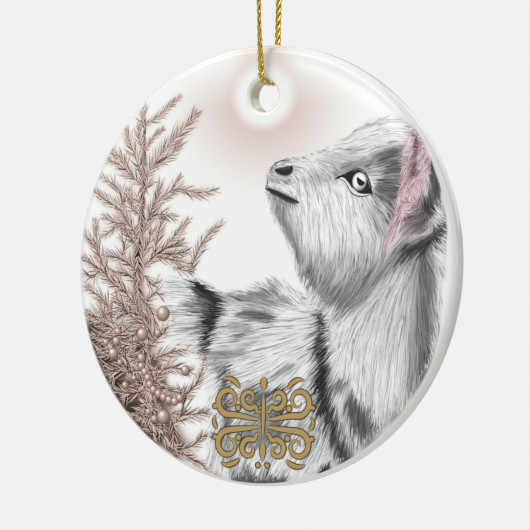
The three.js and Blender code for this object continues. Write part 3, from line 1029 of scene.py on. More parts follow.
HEAD_COMBS = np.array([
    (2, 14.8, -20, .9), (4, 13.2, -25, 1), (3, 16.9, 10, .8), (7, 16.5, -5, 1.2),
    (9, 17.5, -5, 1.6), (8.5, 15, -60, 1.8), (10, 13.5, -72, 2), (12.5, 13, -75, 2.2),
    (8, 12, -80, 1.6), (5.5, 9, -85, 1.8), (3, 9, -95, 1.2), (2.5, 7.5, -60, 1.5),
    (12, 17.3, -18, 2.2), (15, 17.5, -18, 2.4), (17, 18.3, 0, 2.4), (13.5, 15.8, -45, 2),
    (13, 19, 25, 2.6), (17, 21, 28, 3), (21, 23, 20, 3), (24, 22.5, 0, 2.6), (22, 20, 2, 3),
    (25.5, 21, -10, 2.4), (16, 15.8, 25, 1.4), (18.5, 16.6, 15, 1.6), (21, 17.6, 28, 2.4),
    (24, 18.2, 20, 2.6), (25.5, 17.5, 10, 2), (22.5, 15.5, 12, 2.4), (24.5, 15, 8, 2.4),
    (22.5, 13.8, 0, 2.2), (25, 13, -8, 2), (22.3, 12, -18, 2), (24, 11, -35, 2.2),
    (22.5, 10.3, -50, 2.2), (15, 12.5, -60, 1.6), (17.5, 10.2, -80, 2), (20, 9.5, -65, 2.4),
    (15.5, 9.5, -80, 2.6), (8.5, 8, -88, 3), (8, 4, -86, 4), (12, 6, -84, 4), (16, 7, -72, 4),
    (20, 7, -64, 4), (22.5, 6.5, -60, 3.2), (6.5, 6, -78, 3), (5, 5.5, -70, 2.4),
    (9, 1, -92, 4), (13, 1, -97, 4), (17, 2, -95, 4), (20.5, 2.5, -92, 4),
    (22.8, 3, -100, 3.4), (9, -2, -110, 3), (12, -3, -122, 3.6), (15, -3.5, -125, 4),
    (18, -3, -118, 4), (21, -2, -122, 4.4), (24, 0, -128, 4.6), (13.5, -6.5, -130, 3),
    (17, -7, -140, 4.5), (21, -5.5, -132, 5), (25, -3, -122, 5), (27, 1, -128, 4.5),
    (16, -11, -115, 4), (19, -11, -112, 5), (23, -9, -110, 6), (26, -7, -104, 6),
    (29, -5, -92, 6), (31.5, -3, -80, 5), (33, 0, -60, 3.4), (18, -16, -95, 4.5),
    (21, -16, -98, 6), (25, -15, -97, 6), (28, -14, -92, 6), (31, -11, -82, 5.5),
    (32.8, -8, -78, 4), (31.5, -16, -88, 5), (28, -20, -95, 5), (24, -20, -100, 5),
    (21.5, -21, -95, 4), (33, -13, -60, 3), (31.8, 15, -80, 2.4), (32.6, 11.5, -85, 2.4),
    (28.5, 7.5, 195, 2.6), (33.3, 8.5, -35, 1.8), (34.8, 7, -15, 2), (34.5, 4.5, -25, 2.2),
    (33.8, 2, -35, 2.6), (30.5, 4.5, 205, 2), (26, 4, 225, 2.6), (29, 3, 215, 3),
])
EAR_COMBS = np.array([
    (28, 9, 190, 2), (30, 12, 100, 2), (27, 18, 65, 1.6), (27, 14, 60, 1.4),
    (29.8, 17, 65, 1.6), (30.3, 14.5, 50, 1.4), (28, 12, 55, 1.6), (26, 8.5, 60, 1.8),
    (24.8, 5.5, 65, 2),
])
BODY_COMBS = np.array([
    (-15, -5, 178, 3.4), (-12, -4, 155, 2.6), (-10, -6, 172, 3), (-12, -8, 178, 3.6),
    (-13, -11, 182, 3.6), (-10.5, -12, 200, 2.4), (-16, -10, 185, 3), (-7, -5.2, 168, 2.4),
    (-7, -8, 180, 3), (-4, -5.5, 170, 2.8), (0, -5, 160, 2.8), (2, -3.8, 140, 2.2),
    (4.5, -4, 128, 2), (6.5, -5.5, 140, 2.2), (3, -6.8, 165, 3), (-3, -8, 178, 3.2),
    (1, -8.5, 178, 3.4), (6, -8.2, 180, 3.4), (9.5, -8, 184, 3), (11.8, -8.8, 185, 1.8),
    (-6, -12, 186, 3.2), (-1, -11.5, 190, 3.4), (4, -11.5, 188, 4.2), (8, -11, 190, 4),
    (-8, -15, 186, 3), (-3, -15, 190, 4), (2, -14.5, 196, 4.4), (7, -13.8, 202, 4.4),
    (10.5, -12, 205, 3), (-7.5, -18.5, 215, 2.6), (-4, -18, 196, 3.6), (1, -18, 208, 4.4),
    (5, -17.5, 216, 4.4), (9, -17, 222, 4.2), (11.5, -15.5, 220, 3), (13, -17, 228, 2.8),
    (-8, -23, 240, 3), (-4, -23, 215, 3), (2, -22, 215, 3.6), (7, -21.5, 222, 4),
    (10.5, -20.5, 228, 4), (13.5, -20, 238, 3.4), (15.5, -19, 245, 2.8), (17.5, -21, 262, 3),
    (-8, -29, 255, 3), (-2, -28, 235, 3), (4, -27, 228, 3.4), (9, -26, 232, 4),
    (12.5, -25, 248, 4), (15, -25, 256, 4), (18.5, -24.5, 265, 4), (20.8, -24, 272, 3.4),
    (22.5, -26, 275, 3), (-6, -33, 258, 3), (-1, -33, 250, 3), (3, -33, 240, 3),
    (8, -31, 236, 3.4), (12, -30, 245, 4), (15.5, -29.5, 262, 4), (19, -28.5, 272, 3.6),
    (10, -34, 225, 2.6),
])


COMB_CORE = 0.2  # square millimetres round a comb where it rules the fur alone
COMB_FALL = 1.7
DARK_HAIRS = 0.34  # shares of the hairs that are darker and paler than the coat
PALE_HAIRS = 0.38
PALE_HAIR = "#f9fafa"
TONE_SPREAD = 0.02
DARKENING = (0.18, 0.52)  # how far towards black, most on a dark coat
LIGHTENING = (0.35, 0.95)  # how far towards PALE_HAIR, most on a pale coat
DARKEST = 0.04
PALEST = 0.985
DARK_HAIR_WIDTH = 0.78  # a dark hair's width, as a share of a pale one's
ROW_STEP = 0.87  # rows of places stand this much closer than places in a row
STROKE_FILL = 0.62  # share of its own length and width that a tapered stroke covers
ROOT_SHARE = 0.35  # how much of a stroke lies behind the place it grows from


def scattered(ring, spacing, draw):
    """Places about spacing apart inside an outline, in no order."""
    low, high = ring.min(0), ring.max(0)
    columns = np.arange(low[0], high[0], spacing)
    rows = np.arange(low[1], high[1], spacing * ROW_STEP)
    u, v = np.meshgrid(columns, rows)
    u[1::2] += spacing / 2
    places = np.stack([u.ravel(), v.ravel()], 1)
    places += draw.uniform(-0.5, 0.5, places.shape) * spacing
    places = places[inside(places[:, 0], places[:, 1], ring)]
    return places[draw.permutation(len(places))]


def combed(places, combs):
    """Bearing and length of the fur at each place."""
    away = np.hypot(*(places[:, None] - combs[None, :, :2]).transpose(2, 0, 1))
    share = 1 / (away ** 2 + COMB_CORE) ** COMB_FALL
    share /= share.sum(1, keepdims=True)
    bearing = np.radians(combs[:, 2])
    angle = np.arctan2(share @ np.sin(bearing), share @ np.cos(bearing))
    return angle, share @ combs[:, 3]


def varied(colours, draw, contrast):
    """Fur tones: most close to the painted one, some a good deal darker, some nearly white."""
    count = len(colours)
    light = colours.mean(1, keepdims=True)
    shade = colours + draw.normal(0, TONE_SPREAD, (count, 1)) * contrast
    kind = draw.uniform(size=(count, 1))
    deep = draw.uniform(*DARKENING, (count, 1)) * contrast * (1.15 - 0.45 * light)
    bright = draw.uniform(*LIGHTENING, (count, 1)) * contrast * (0.08 + 0.85 * light ** 2)
    shade = np.where(kind < DARK_HAIRS, shade * (1 - deep), shade)
    pale = shade + (encoded(PALE_HAIR) - shade) * bright
    shade = np.where(kind > 1 - PALE_HAIRS, pale, shade)
    return np.clip(shade, DARKEST, PALEST)


def fur(name, ring, combs, material, step, cover, wide, contrast, tangle=0.06):
    """One coat of fur inside an outline, toned by the ground below it. step seeds its draws,
    cover is how many strokes lie over a place on average, wide scales their width, contrast how
    far their tones stray and tangle how far their bearings do."""
    sizes = bpy.context.scene.ornament_picture
    draw = draws(step)
    seeds = scattered(ring, sizes.fur_spacing / MM, draw)
    angle, reach = combed(seeds, combs)
    width = sizes.fur_width / MM * wide
    share = (sizes.fur_spacing / MM) ** 2 * ROW_STEP
    keep = draw.uniform(size=len(seeds)) < cover * share / (STROKE_FILL * width * reach)
    seeds, angle, reach = seeds[keep], angle[keep], reach[keep]
    count = len(seeds)
    angle = angle + draw.normal(0, tangle, count)
    reach = reach * draw.uniform(0.75, 1.35, count)
    bend = draw.normal(0, 2.2 * tangle, count)
    widths = width * draw.uniform(0.6, 1.3, count)
    start = seeds - ROOT_SHARE * reach[:, None] * np.stack([np.cos(angle), np.sin(angle)], 1)
    lines = curved_strokes(start, angle, reach, bend)
    lines, widths, seeds = kept_on_disc(lines, widths, seeds, limit=fur_limit)
    coat = base_picture(seeds[:, 0], seeds[:, 1])
    tones = varied(coat, draw, contrast)
    widths = widths * np.where(tones.mean(1) < coat.mean(1) - 0.05, DARK_HAIR_WIDTH, 1.0)
    return ribbons(name, lines, widths, tones, material)


EDGE_HAIR_STEP = 0.36
EDGE_HAIR_WIDTHS = (0.09, 0.17)
EDGE_HAIR_LENGTHS = (0.3, 0.7)  # shares of the fur's own length there
EDGE_HAIRS_DARK = 0.25  # share of the loose hairs
EDGE_DARKENING = (0.15, 0.45)
EDGE_HAIR = "#eff1f1"


def edge_fur(name, ring, combs, material, step):
    """Loose hairs that stand off an outline, pale with a few dark ones between them."""
    draw = draws(step)
    closed = np.vstack([ring, ring[:1]])
    places = resampled(closed, int(run_length(closed) / EDGE_HAIR_STEP))
    places = places + draw.normal(0, 0.15, places.shape)
    angle, reach = combed(places, combs)
    count = len(places)
    lines = curved_strokes(
        places, angle + draw.normal(0, 0.16, count),
        reach * draw.uniform(*EDGE_HAIR_LENGTHS, count), draw.normal(0, 0.35, count),
    )
    widths = draw.uniform(*EDGE_HAIR_WIDTHS, count)
    deep = (draw.uniform(size=count) < EDGE_HAIRS_DARK) * draw.uniform(*EDGE_DARKENING, count)
    tones = encoded(EDGE_HAIR) * (1 - deep[:, None])
    lines, widths, tones = kept_on_disc(lines, widths, tones, limit=fur_limit)
    return ribbons(name, lines, widths, tones, material)


# ---------------------------------------------------------------------------------------------
# Fir tree
# ---------------------------------------------------------------------------------------------

THICKET = smooth_ring([
    (-24.5, -7.5), (-27.5, -9.0), (-31.5, -9.6), (-34.0, -10.0), (-31.6, -16.0),
    (-28.6, -20.6), (-25.2, -24.6), (-21.4, -28.0), (-17.4, -30.8), (-16.0, -27.0),
    (-18.0, -23.0), (-19.8, -18.0), (-20.6, -12.0),
])
THICKET_SPRIGS = 36
SPRIG_SPACING = 2.2
SPRIGS_RIGHTWARD = 0.35  # share of them that point right; the rest point up and left
SPRIG_LENGTHS = (3.0, 5.5)
SPRIG_NEEDLES = (1.3, 1.9)
TWIG_HEIGHTS = (-18, 4, 20)  # twigs are darkest low on the tree and palest at its top
TWIG_DARKNESS = (1.3, 1.0, 0.65)
NEEDLE_LENGTH = 2.1
NEEDLE_LEAN = (24, 44)  # degrees off the twig
SHADE_SHIFT = -0.11  # a needle's shaded side lies this far beside its lit side
NEEDLE_TONES = ("#ead8d0", "#b38f81")  # lit side, from the palest twig to the darkest
NEEDLE_SHADES = ("#7d5b4c", "#22120d")  # shaded side
STEM_TONES = ("#c9b3aa", "#563d34")
STEM_STATIONS = 30
TRUNK_STATIONS = 160
BARE_TOP = 12  # of those stations carry no needles
TRUNK_KNOT = [(1.2, "#3b2a24", [(-24.5, 0.8), (-24.3, 2.0), (-24.2, 3.3)]),
              (0.6, "#231712", [(-24.4, 1.4), (-24.3, 2.0), (-24.2, 2.7)])]


def twig_needles(stem, needle, dark, draw):
    """Needle strokes along both sides of one stem: lines, widths and colours."""
    step = bpy.context.scene.ornament_picture.needle_spacing / MM
    width = bpy.context.scene.ornament_picture.needle_width / MM
    count = max(6, int(run_length(stem) / step))
    places = resampled(stem, count)
    heading = np.gradient(places, axis=0)
    heading = np.arctan2(heading[:, 1], heading[:, 0])
    along = np.linspace(0, 1, count)
    starts, angles, reaches, widths, tones = [], [], [], [], []
    for side in (-1, 1):
        lean = np.radians(draw.uniform(*NEEDLE_LEAN, count)) * (1 - 0.35 * along)
        reach = NEEDLE_LENGTH * needle * draw.uniform(0.7, 1.15, count)
        reach *= 0.6 + 0.4 * np.sin(np.pi * along ** 0.7)
        shade = draw.uniform(size=count)
        deep = np.clip(dark * (1.15 - 0.45 * along), 0, 1)
        pale = blended(*NEEDLE_TONES, deep * (0.05 + 0.6 * shade))
        brown = blended(*NEEDLE_SHADES, deep * (0.45 + 0.75 * shade))
        for shift, wide, colours in ((0.0, 0.9, pale), (SHADE_SHIFT, 0.72, brown)):
            place = places + draw.normal(0, 0.04, places.shape)
            place[:, 0] -= np.sin(heading) * shift
            place[:, 1] += np.cos(heading) * shift
            starts.append(place)
            angles.append(heading + side * lean + draw.normal(0, 0.04, count))
            reaches.append(reach * draw.uniform(0.75, 1.0, count))
            widths.append(width * wide * draw.uniform(0.7, 1.2, count))
            tones.append(colours)
    starts, angles, reaches, widths, tones = (
        np.concatenate(x) for x in (starts, angles, reaches, widths, tones)
    )
    order = draw.permutation(len(starts))
    lines = curved_strokes(starts, angles, reaches, draw.normal(0, 0.35, len(starts)))
    return lines[order], widths[order], tones[order]


def all_twigs(draw):
    """The drawn twigs and the sprigs scattered in the thicket: darkness, needle size, stem."""
    twigs = [(dark, needle, np.array(stem, float)) for dark, needle, *stem in TWIGS]
    for place in scattered(THICKET, SPRIG_SPACING, draw)[:THICKET_SPRIGS]:
        angle = draw.uniform(0.55, 1.45) * np.pi + (place[1] + 18) * 0.02
        if draw.uniform() < SPRIGS_RIGHTWARD:
            angle = draw.uniform(-0.35, 0.3) * np.pi
        reach = draw.uniform(*SPRIG_LENGTHS)
        bend = draw.normal(0, 0.25)
        tip = place + reach * np.array([math.cos(angle + bend), math.sin(angle + bend)])
        waist = place + reach * 0.5 * np.array([math.cos(angle), math.sin(angle)])
        dark, needle = draw.uniform(0.6, 1.0), draw.uniform(*SPRIG_NEEDLES)
        twigs.append((dark, needle, np.array([place, waist, tip])))
    return [
        (dark * np.interp(stem[:, 1].mean(), TWIG_HEIGHTS, TWIG_DARKNESS), needle, stem)
        for dark, needle, stem in twigs
    ]


def fir_tree(material):
    """Stems, then needles from the back of the tree to the front, then thin stems over them."""
    draw = draws(40)
    twigs = all_twigs(draw)
    stems = [(1.1, "#8d7166", TRUNK), (0.5, "#4a342c", [(u + 0.2, v) for u, v in TRUNK]),
             (0.2, "#d2bdb4", [(u - 0.25, v) for u, v in TRUNK])]
    over = list(TRUNK_KNOT)
    for dark, needle, stem in twigs:
        if off_middle(stem).max() < PRINT_LIMIT:
            text = hex_text(blended(*STEM_TONES, dark))
            stems.append((0.24 * dark + 0.06, text, stem))
            over.append((0.10 * dark + 0.06, text, stem))
    drawn("fir_stems", stems, material, STEM_STATIONS)
    groups = [twig_needles(smooth_line(stem), needle, dark, draw) for dark, needle, stem in twigs]
    trunk = resampled(smooth_line(TRUNK), TRUNK_STATIONS)[BARE_TOP:]
    groups.append(twig_needles(trunk, 1.1, 0.85, draw))
    lines, widths, tones = (np.concatenate(part) for part in zip(*groups))
    inner = off_middle(lines[:, 0]) < PRINT_LIMIT
    lines, widths, tones = kept_on_disc(lines[inner], widths[inner], tones[inner])
    third = len(lines) // 3
    for k, name in enumerate(("fir_needles_back", "fir_needles_middle", "fir_needles_front")):
        part = slice(k * third, (k + 1) * third if k < 2 else None)
        ribbons(name, lines[part], widths[part], tones[part], material)
    drawn("fir_stems_over", over, material, STEM_STATIONS)


BAUBLE_ROSE = "#cfb4ab"
BAUBLE_SHADE = "#6f5549"
BAUBLE_EDGE = "#5f463c"
BAUBLE_GLINT = "#fbf7f5"


def bauble_paint(x, y):
    """A pearly ball: pale glint above left, rosy body, darker edge below right."""
    glint = np.exp(-(((x + 0.3) ** 2 + (y - 0.35) ** 2) / 0.10))
    away = np.hypot(x + 0.25, y - 0.3)
    tone = blended(BAUBLE_ROSE, BAUBLE_SHADE, np.clip(away / 1.35, 0, 1) ** 1.5)
    edge = np.clip((np.hypot(x, y) - 0.86) / 0.14, 0, 1)[..., None]
    tone = tone * (1 - edge) + encoded(BAUBLE_EDGE) * edge
    return tone * (1 - glint[..., None]) + encoded(BAUBLE_GLINT) * glint[..., None]


# ---------------------------------------------------------------------------------------------
# Face of the kid
# ---------------------------------------------------------------------------------------------

EYE = smooth_ring([
    (13.9, 14.0), (14.6, 14.5), (15.7, 14.65), (16.55, 15.05), (17.45, 15.3), (18.3, 15.5),
    (19.0, 15.25), (19.7, 14.75), (20.25, 14.0), (20.6, 13.1), (20.8, 12.2), (21.0, 11.4),
    (20.6, 11.55), (19.9, 11.5), (19.0, 11.55), (18.3, 11.75), (17.6, 12.2), (17.0, 12.7),
    (16.4, 13.4), (15.7, 14.1), (15.05, 14.3), (14.55, 14.1),
])
PUPIL = smooth_ring([
    (18.1, 14.3), (18.65, 13.95), (19.2, 13.6), (19.45, 13.35), (19.3, 13.05), (18.85, 12.85),
    (18.4, 12.95), (18.05, 13.45), (17.95, 14.0),
])


NOSTRIL = [(2.4, 15.7), (3.4, 15.45), (4.6, 15.3), (5.4, 15.7), (5.5, 16.4)]
MOUTH = [(0.6, 12.7), (2.4, 12.1), (4.5, 11.2), (7.2, 10.2)]


def iris_paint(x, y):
    """Pale wet iris: bright above and to the left, grey low on the right, dark ring outside."""
    away = np.hypot(x, y)
    tone = blended("#f1f4f3", "#737576", np.clip(0.55 * x - 0.85 * y - 0.12, 0, 1))
    ring = np.clip((away - 0.82) / 0.18, 0, 1)[..., None]
    return tone * (1 - ring) + encoded("#2b2d2f") * ring


def kid_face(material):
    """Eye, nostril and mouth, drawn over the fur."""
    patch("kid_eye", EYE, encoded("#101112"), material)
    domes("kid_iris", [(18.47, 13.57, 1.42)], material, iris_paint, squash=1.12)
    patch("kid_pupil", PUPIL, encoded("#0b0c0d"), material)
    drawn("kid_lids", [
        (0.20, "#16181a", [(13.6, 13.7), (14.3, 14.35), (15.6, 14.75), (17.0, 15.3),
                           (18.3, 15.65), (19.3, 15.3), (20.2, 14.3)]),
        (0.13, "#8f9190", [(18.9, 15.15), (19.7, 14.4), (20.2, 13.4), (20.5, 12.4)]),
        (0.24, "#e6e9e8", [(15.25, 14.15), (15.85, 13.75), (16.25, 13.25), (16.7, 12.55),
                           (17.25, 11.95), (18.05, 11.5), (19.0, 11.4), (20.25, 11.5)]),
        (0.17, "#232527", [(14.6, 14.0), (15.5, 13.75), (16.0, 13.1), (16.5, 12.35),
                           (17.15, 11.65), (18.15, 11.2), (19.4, 11.12), (20.85, 11.4),
                           (21.0, 10.8)]),
        (0.13, "#a7a9a9", [(14.2, 14.75), (15.6, 15.1), (17.0, 15.75), (18.4, 16.05),
                           (19.7, 15.6), (20.7, 14.4)]),
        (0.15, "#f6f7f7", [(20.4, 14.6), (20.9, 13.5), (21.2, 12.3)]),
    ], material)
    for name, grow, text in (
        ("kid_nose_haze", 0.60, "#a3a5a7"), ("kid_nose_shade", 0.30, "#626466")
    ):
        drawn(name, [(1.0 + grow, text, NOSTRIL), (0.5 + grow, text, MOUTH)], material)
    drawn("kid_nose_and_mouth", [
        (1.00, "#232425", NOSTRIL),
        (0.55, "#3a3c3e", [(3.2, 15.9), (4.3, 15.9), (5.2, 16.3)]),
        (0.18, "#4a4c4e", [(1.5, 15.4), (2.2, 16.5), (3.6, 17.2), (5.4, 17.3)]),
        (0.20, "#5b5d60", [(0.9, 14.6), (1.0, 13.5), (0.6, 12.7)]),
        (0.55, "#222426", MOUTH),
        (0.45, "#3c3e40", [(1.4, 12.1), (3.2, 11.4), (5.2, 10.5), (6.6, 10.0)]),
        (0.16, "#85878a", [(1.8, 11.2), (3.4, 10.5), (5.2, 9.7)]),
        (0.15, "#a2a4a6", [(5.9, 15.0), (6.8, 14.0), (7.2, 12.8)]),
    ], material)


# ---------------------------------------------------------------------------------------------
# Flourish: plain scrollwork in flat gold ink, the same on both sides of its middle
# ---------------------------------------------------------------------------------------------

FLOURISH_MIDDLE = (0.95, -25.8)
FLOURISH_OUTLINE = "#4d3f25"
FLOURISH_STATIONS = 64
OUTLINE_EXTRA = 0.42  # how much wider the dark ribbons are than the gold ones
SCROLL_SLIM = 0.72
CURL_STATIONS = 14
CURL_WINDS_IN = 0.82  # share of its radius that a spiral loses on its way in


def curl(lead, centre, radius, start, turns):
    """A lead-in line that winds into a spiral round a centre; start and turns in degrees."""
    t = np.linspace(0, 1, CURL_STATIONS)
    angle = np.radians(start + turns * t)
    reach = radius * (1 - CURL_WINDS_IN * t)
    spiral = np.stack([centre[0] + reach * np.cos(angle), centre[1] + reach * np.sin(angle)], 1)
    return np.vstack([np.array(lead, float), spiral])


SCROLLS = [
    (1.25, curl([(-0.5, 0.4), (-2.2, 0.5), (-4.4, 0.9)], (-6.7, 3.4), 2.5, -70, -470)),
    (1.10, curl([(-0.4, 1.6), (-1.1, 1.6)], (-2.7, 3.8), 1.75, -50, -430)),
    (1.25, curl([(-0.5, -0.8), (-2.4, -1.1), (-4.6, -1.3)], (-6.6, -3.9), 2.5, 80, 470)),
    (1.10, curl([(-0.4, -2.0), (-1.2, -2.2)], (-2.6, -4.6), 1.8, 60, 430)),
    (0.95, [(-4.6, 5.4), (-5.4, 6.4), (-6.6, 7.0), (-7.8, 6.9)]),
    (0.95, [(-4.4, -6.2), (-5.6, -7.0), (-7.0, -7.3), (-8.2, -6.9)]),
    (0.80, [(-8.9, -1.4), (-9.5, -0.3), (-9.3, 1.0)]),
]
STEM = [(1.5, [(0, 7.4), (0, 6.4), (0, 5.0)]), (0.9, [(0, 4.6), (0, 1.0), (0, -3.0)]),
        (1.4, [(0, -3.4), (0, -5.0), (0, -6.6)])]
BEAD_DOTS = [(-0.9, -7.2, 0.38), (-4.9, 2.2, 0.45), (-4.7, -2.7, 0.45), (-9.4, 2.4, 0.38),
             (-9.3, -2.7, 0.38)]


def flourish(material):
    """Outline ribbons below and slightly narrower gold ones on top."""
    text = hex_text(
        12.92 * c if c <= 0.0031308 else 1.055 * c ** (1 / 2.4) - 0.055
        for c in bpy.context.scene.ornament_picture.flourish
    )
    lines = list(STEM)
    for width, places in SCROLLS:
        places = np.array(places, float)
        lines += [(width, places), (width, places * (-1, 1))]
    dots = [spot for u, v, r in BEAD_DOTS for spot in ((u, v, r), (-u, v, r))]
    brush = np.clip(np.sin(np.pi * np.linspace(0, 1, FLOURISH_STATIONS) ** 0.8) ** 0.6, 0.16, 1)
    for name, extra, shade in (
        ("flourish_outline", OUTLINE_EXTRA, FLOURISH_OUTLINE), ("flourish_gold", 0.0, text)
    ):
        strokes = [
            (width * SCROLL_SLIM + extra, shade, np.array(places, float) + FLOURISH_MIDDLE)
            for width, places in lines
        ]
        drawn(name, strokes, material, FLOURISH_STATIONS, brush)
        spots = [
            (u + FLOURISH_MIDDLE[0], v + FLOURISH_MIDDLE[1], r + extra / 2) for u, v, r in dots
        ]
        domes(name + "_dots", spots, material, lambda x, y: blended(shade, shade, x))


# ---------------------------------------------------------------------------------------------
# Gold cord
# ---------------------------------------------------------------------------------------------

SEAT_Z = -56.8  # centre line of the cord on the lip of the hole
STRAND_FOOT_Z = -54.4  # the strands run straight below this
JOIN_Z = -54.55  # where the bight ends and the strands start
FRONT_OFF = 2.58  # the strands' distance from the middle of the disc's thickness, at the foot
BACK_OFF = 2.50
CROTCH_OFF = 0.75  # and under the knot
# How far each strand bows out on its way up: share of the height, millimetres
FRONT_BOW = [
    (0, 0), (0.04, 0.35), (0.085, 0.75), (0.14, 1.15), (0.21, 1.5), (0.28, 1.8), (0.36, 1.98),
    (0.44, 2.05), (0.52, 2.0), (0.6, 1.84), (0.68, 1.55), (0.76, 1.18), (0.84, 0.76),
    (0.92, 0.34), (0.97, 0.1), (1, 0),
]
BACK_BOW = [
    (0, 0), (0.04, 0.12), (0.085, 0.25), (0.14, 0.38), (0.21, 0.55), (0.28, 0.74),
    (0.36, 0.92), (0.44, 1.03), (0.52, 1.05), (0.6, 1.0), (0.68, 0.87), (0.76, 0.68),
    (0.84, 0.45), (0.92, 0.2), (0.97, 0.06), (1, 0),
]
CORD_STEP = 0.13
CIRCLE_HANDLE = 0.5523  # handle that makes a cubic curve follow a quarter circle
BEARING_LIFT = 0.4  # the flattened cord sits this much nearer the lip than a round one
RIDGE = 0.075  # a yarn's four ridges, as a share of its radius
YARN_TWIST = 2.6  # turns of a yarn about itself for one turn of the cord
PRESSED_TO = 0.5  # share of its thickness left where the cord is pressed flat
EASES_BY = 0.12  # it is this much rounder further up
EASES_OVER = 13.0
FRONT_FACE_TURN = math.radians(72)  # the flat side's turn up the strands
BACK_FACE_TURN = math.radians(-14)
BEND_STATIONS = 14
WRAP_STATIONS = 200
KNOT_WRAPS = 2.25
KNOT_TUCK = 0.06  # share of the wraps at each end that goes into the knot
KNOT_TILT = 0.28
# The pass over the wraps: right, back, height above the knot's underside
KNOT_OVER = [
    (0.3, -0.9, 0.55), (1.1, -1.5, 0.8), (1.55, -1.2, 1.5), (1.75, -0.3, 2.1), (1.55, 0.7, 2.7),
    (0.8, 1.2, 3.3), (0.1, 0.9, 3.6),
]
TAIL_FOOT = 4.6
TAIL_SPREAD = 2.6
TAIL_STATIONS = 70
TAIL_OPENS = 0.72  # the yarns part beyond this share of a tail
FILAMENTS = 26
FILAMENT_LENGTHS = (0.9, 2.0)
FILAMENT_RADII = (0.045, 0.08)


def strand_line(side, off, bow):
    """One strand from its foot over the hole up to the crotch, in (y, z)."""
    points = [
        (side * (off + (CROTCH_OFF - off) * share + out), STRAND_FOOT_Z * (1 - share))
        for share, out in bow
    ]
    return smooth_line(points, 12)


def quarter_bend(start, turn, end):
    """A quarter of a circle as a cubic curve, from start to end, rounding the corner turn."""
    start, turn, end = (np.array(p) for p in (start, turn, end))
    a = start + (turn - start) * CIRCLE_HANDLE
    b = end + (turn - end) * CIRCLE_HANDLE
    t = np.linspace(0, 1, BEND_STATIONS)[:, None]
    return (1 - t) ** 3 * start + 3 * (1 - t) ** 2 * t * a + 3 * (1 - t) * t * t * b + t ** 3 * end


def cord_route():
    """The whole loop as one line in (x, y, z): down the front, through the hole, up the back."""
    bend = bpy.context.scene.ornament_cord.bend_radius / MM
    front = strand_line(-1, FRONT_OFF, FRONT_BOW)[::-1]
    back = strand_line(1, BACK_OFF, BACK_BOW)
    bend_top = SEAT_Z + bend
    under = np.vstack([
        quarter_bend((-FRONT_OFF, bend_top), (-FRONT_OFF, SEAT_Z), (-FRONT_OFF + bend, SEAT_Z)),
        quarter_bend((BACK_OFF - bend, SEAT_Z), (BACK_OFF, SEAT_Z), (BACK_OFF, bend_top)),
    ])
    into_knot = [(-CROTCH_OFF + 0.1, 1.0)]
    out_of_knot = [(CROTCH_OFF - 0.1, 1.0)]
    flat = np.vstack([into_knot, front, under, back, out_of_knot])
    line = np.column_stack([np.zeros(len(flat)), flat])
    line = resampled(line, int(run_length(line) / CORD_STEP))
    low = np.clip((JOIN_Z - line[:, 2]) / (JOIN_Z - SEAT_Z), 0, 1)
    line[:, 2] += BEARING_LIFT * eased(low)
    return line


def laid_yarns(line, spread=None, reference=(1.0, 0.0, 0.0), sides=12, flat=None):
    """Rings of points for each yarn laid round a line. spread moves the yarns apart, and flat
    holds how the cord is pressed: the turn of its flat side and its thickness at each point."""
    sizes = bpy.context.scene.ornament_cord
    lay, plies = sizes.lay / MM, sizes.plies
    yarn = sizes.diameter / 2 / MM / (1 + 1 / math.sin(math.pi / plies))
    offset = yarn / math.sin(math.pi / plies)
    along = np.gradient(line, axis=0)
    along /= np.linalg.norm(along, axis=1, keepdims=True)
    first = np.array(reference) - along * (along @ np.array(reference))[:, None]
    first /= np.linalg.norm(first, axis=1, keepdims=True)
    second = np.cross(along, first)
    run = np.concatenate([[0], np.cumsum(np.linalg.norm(np.diff(line, axis=0), axis=1))])
    grow = np.ones(len(line)) if spread is None else spread
    turn = 2 * np.pi * run / lay
    yarns = []
    for k in range(plies):
        angle = turn + 2 * np.pi * k / plies
        centre = line + (
            np.cos(angle)[:, None] * first + np.sin(angle)[:, None] * second
        ) * (offset * grow)[:, None]
        around = np.linspace(0, 2 * np.pi, sides, endpoint=False)
        slit = 1 + RIDGE * np.cos(4 * around)[None] * np.ones(len(line))[:, None]
        own = around[None] + YARN_TWIST * turn[:, None]
        ring = (
            np.cos(own)[..., None] * first[:, None] + np.sin(own)[..., None] * second[:, None]
        ) * (yarn * slit)[..., None]
        placed = centre[:, None] + ring
        if flat is not None:
            face, thin = flat
            normal = np.cos(face)[:, None] * second - np.sin(face)[:, None] * first
            out = ((placed - line[:, None]) * normal[:, None]).sum(-1, keepdims=True)
            placed = placed + out * (thin - 1)[:, None, None] * normal[:, None]
        yarns.append(placed)
    return yarns


def pressed_flat(route):
    """The loop is drawn flat where it bears on the lip and turns edge-on up the front strand."""
    front = route[:, 1] < 0
    ease = eased(np.clip((route[:, 2] - JOIN_Z) / EASES_OVER, 0, 1))
    face = np.where(front, FRONT_FACE_TURN, BACK_FACE_TURN) * ease
    return face, PRESSED_TO + EASES_BY * ease


def yarn_piece(name, yarns, material, body=None):
    """A closed mesh of several yarns, each a list of rings."""
    points, faces = [], []
    for rings in yarns:
        count, sides, _ = rings.shape
        first = len(points)
        points += rings.reshape(-1, 3).tolist() + [rings[0].mean(0), rings[-1].mean(0)]
        faces += (sheet_faces(count, sides, wrap_columns=True, flip=True) + first).tolist()
        head, foot = first + count * sides, first + count * sides + 1
        last = first + (count - 1) * sides
        for i in range(sides):
            j = (i + 1) % sides
            faces.append([head, first + j, first + i])
            faces.append([foot, last + i, last + j])
    made = mesh_object(name, points, faces, material)
    if body:
        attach(made, body)
    return made


def outward(made):
    """Turns a closed piece's faces to look out."""
    shell = bmesh.new()
    shell.from_mesh(made.data)
    bmesh.ops.recalc_face_normals(shell, faces=shell.faces)
    shell.to_mesh(made.data)
    shell.free()
    return made


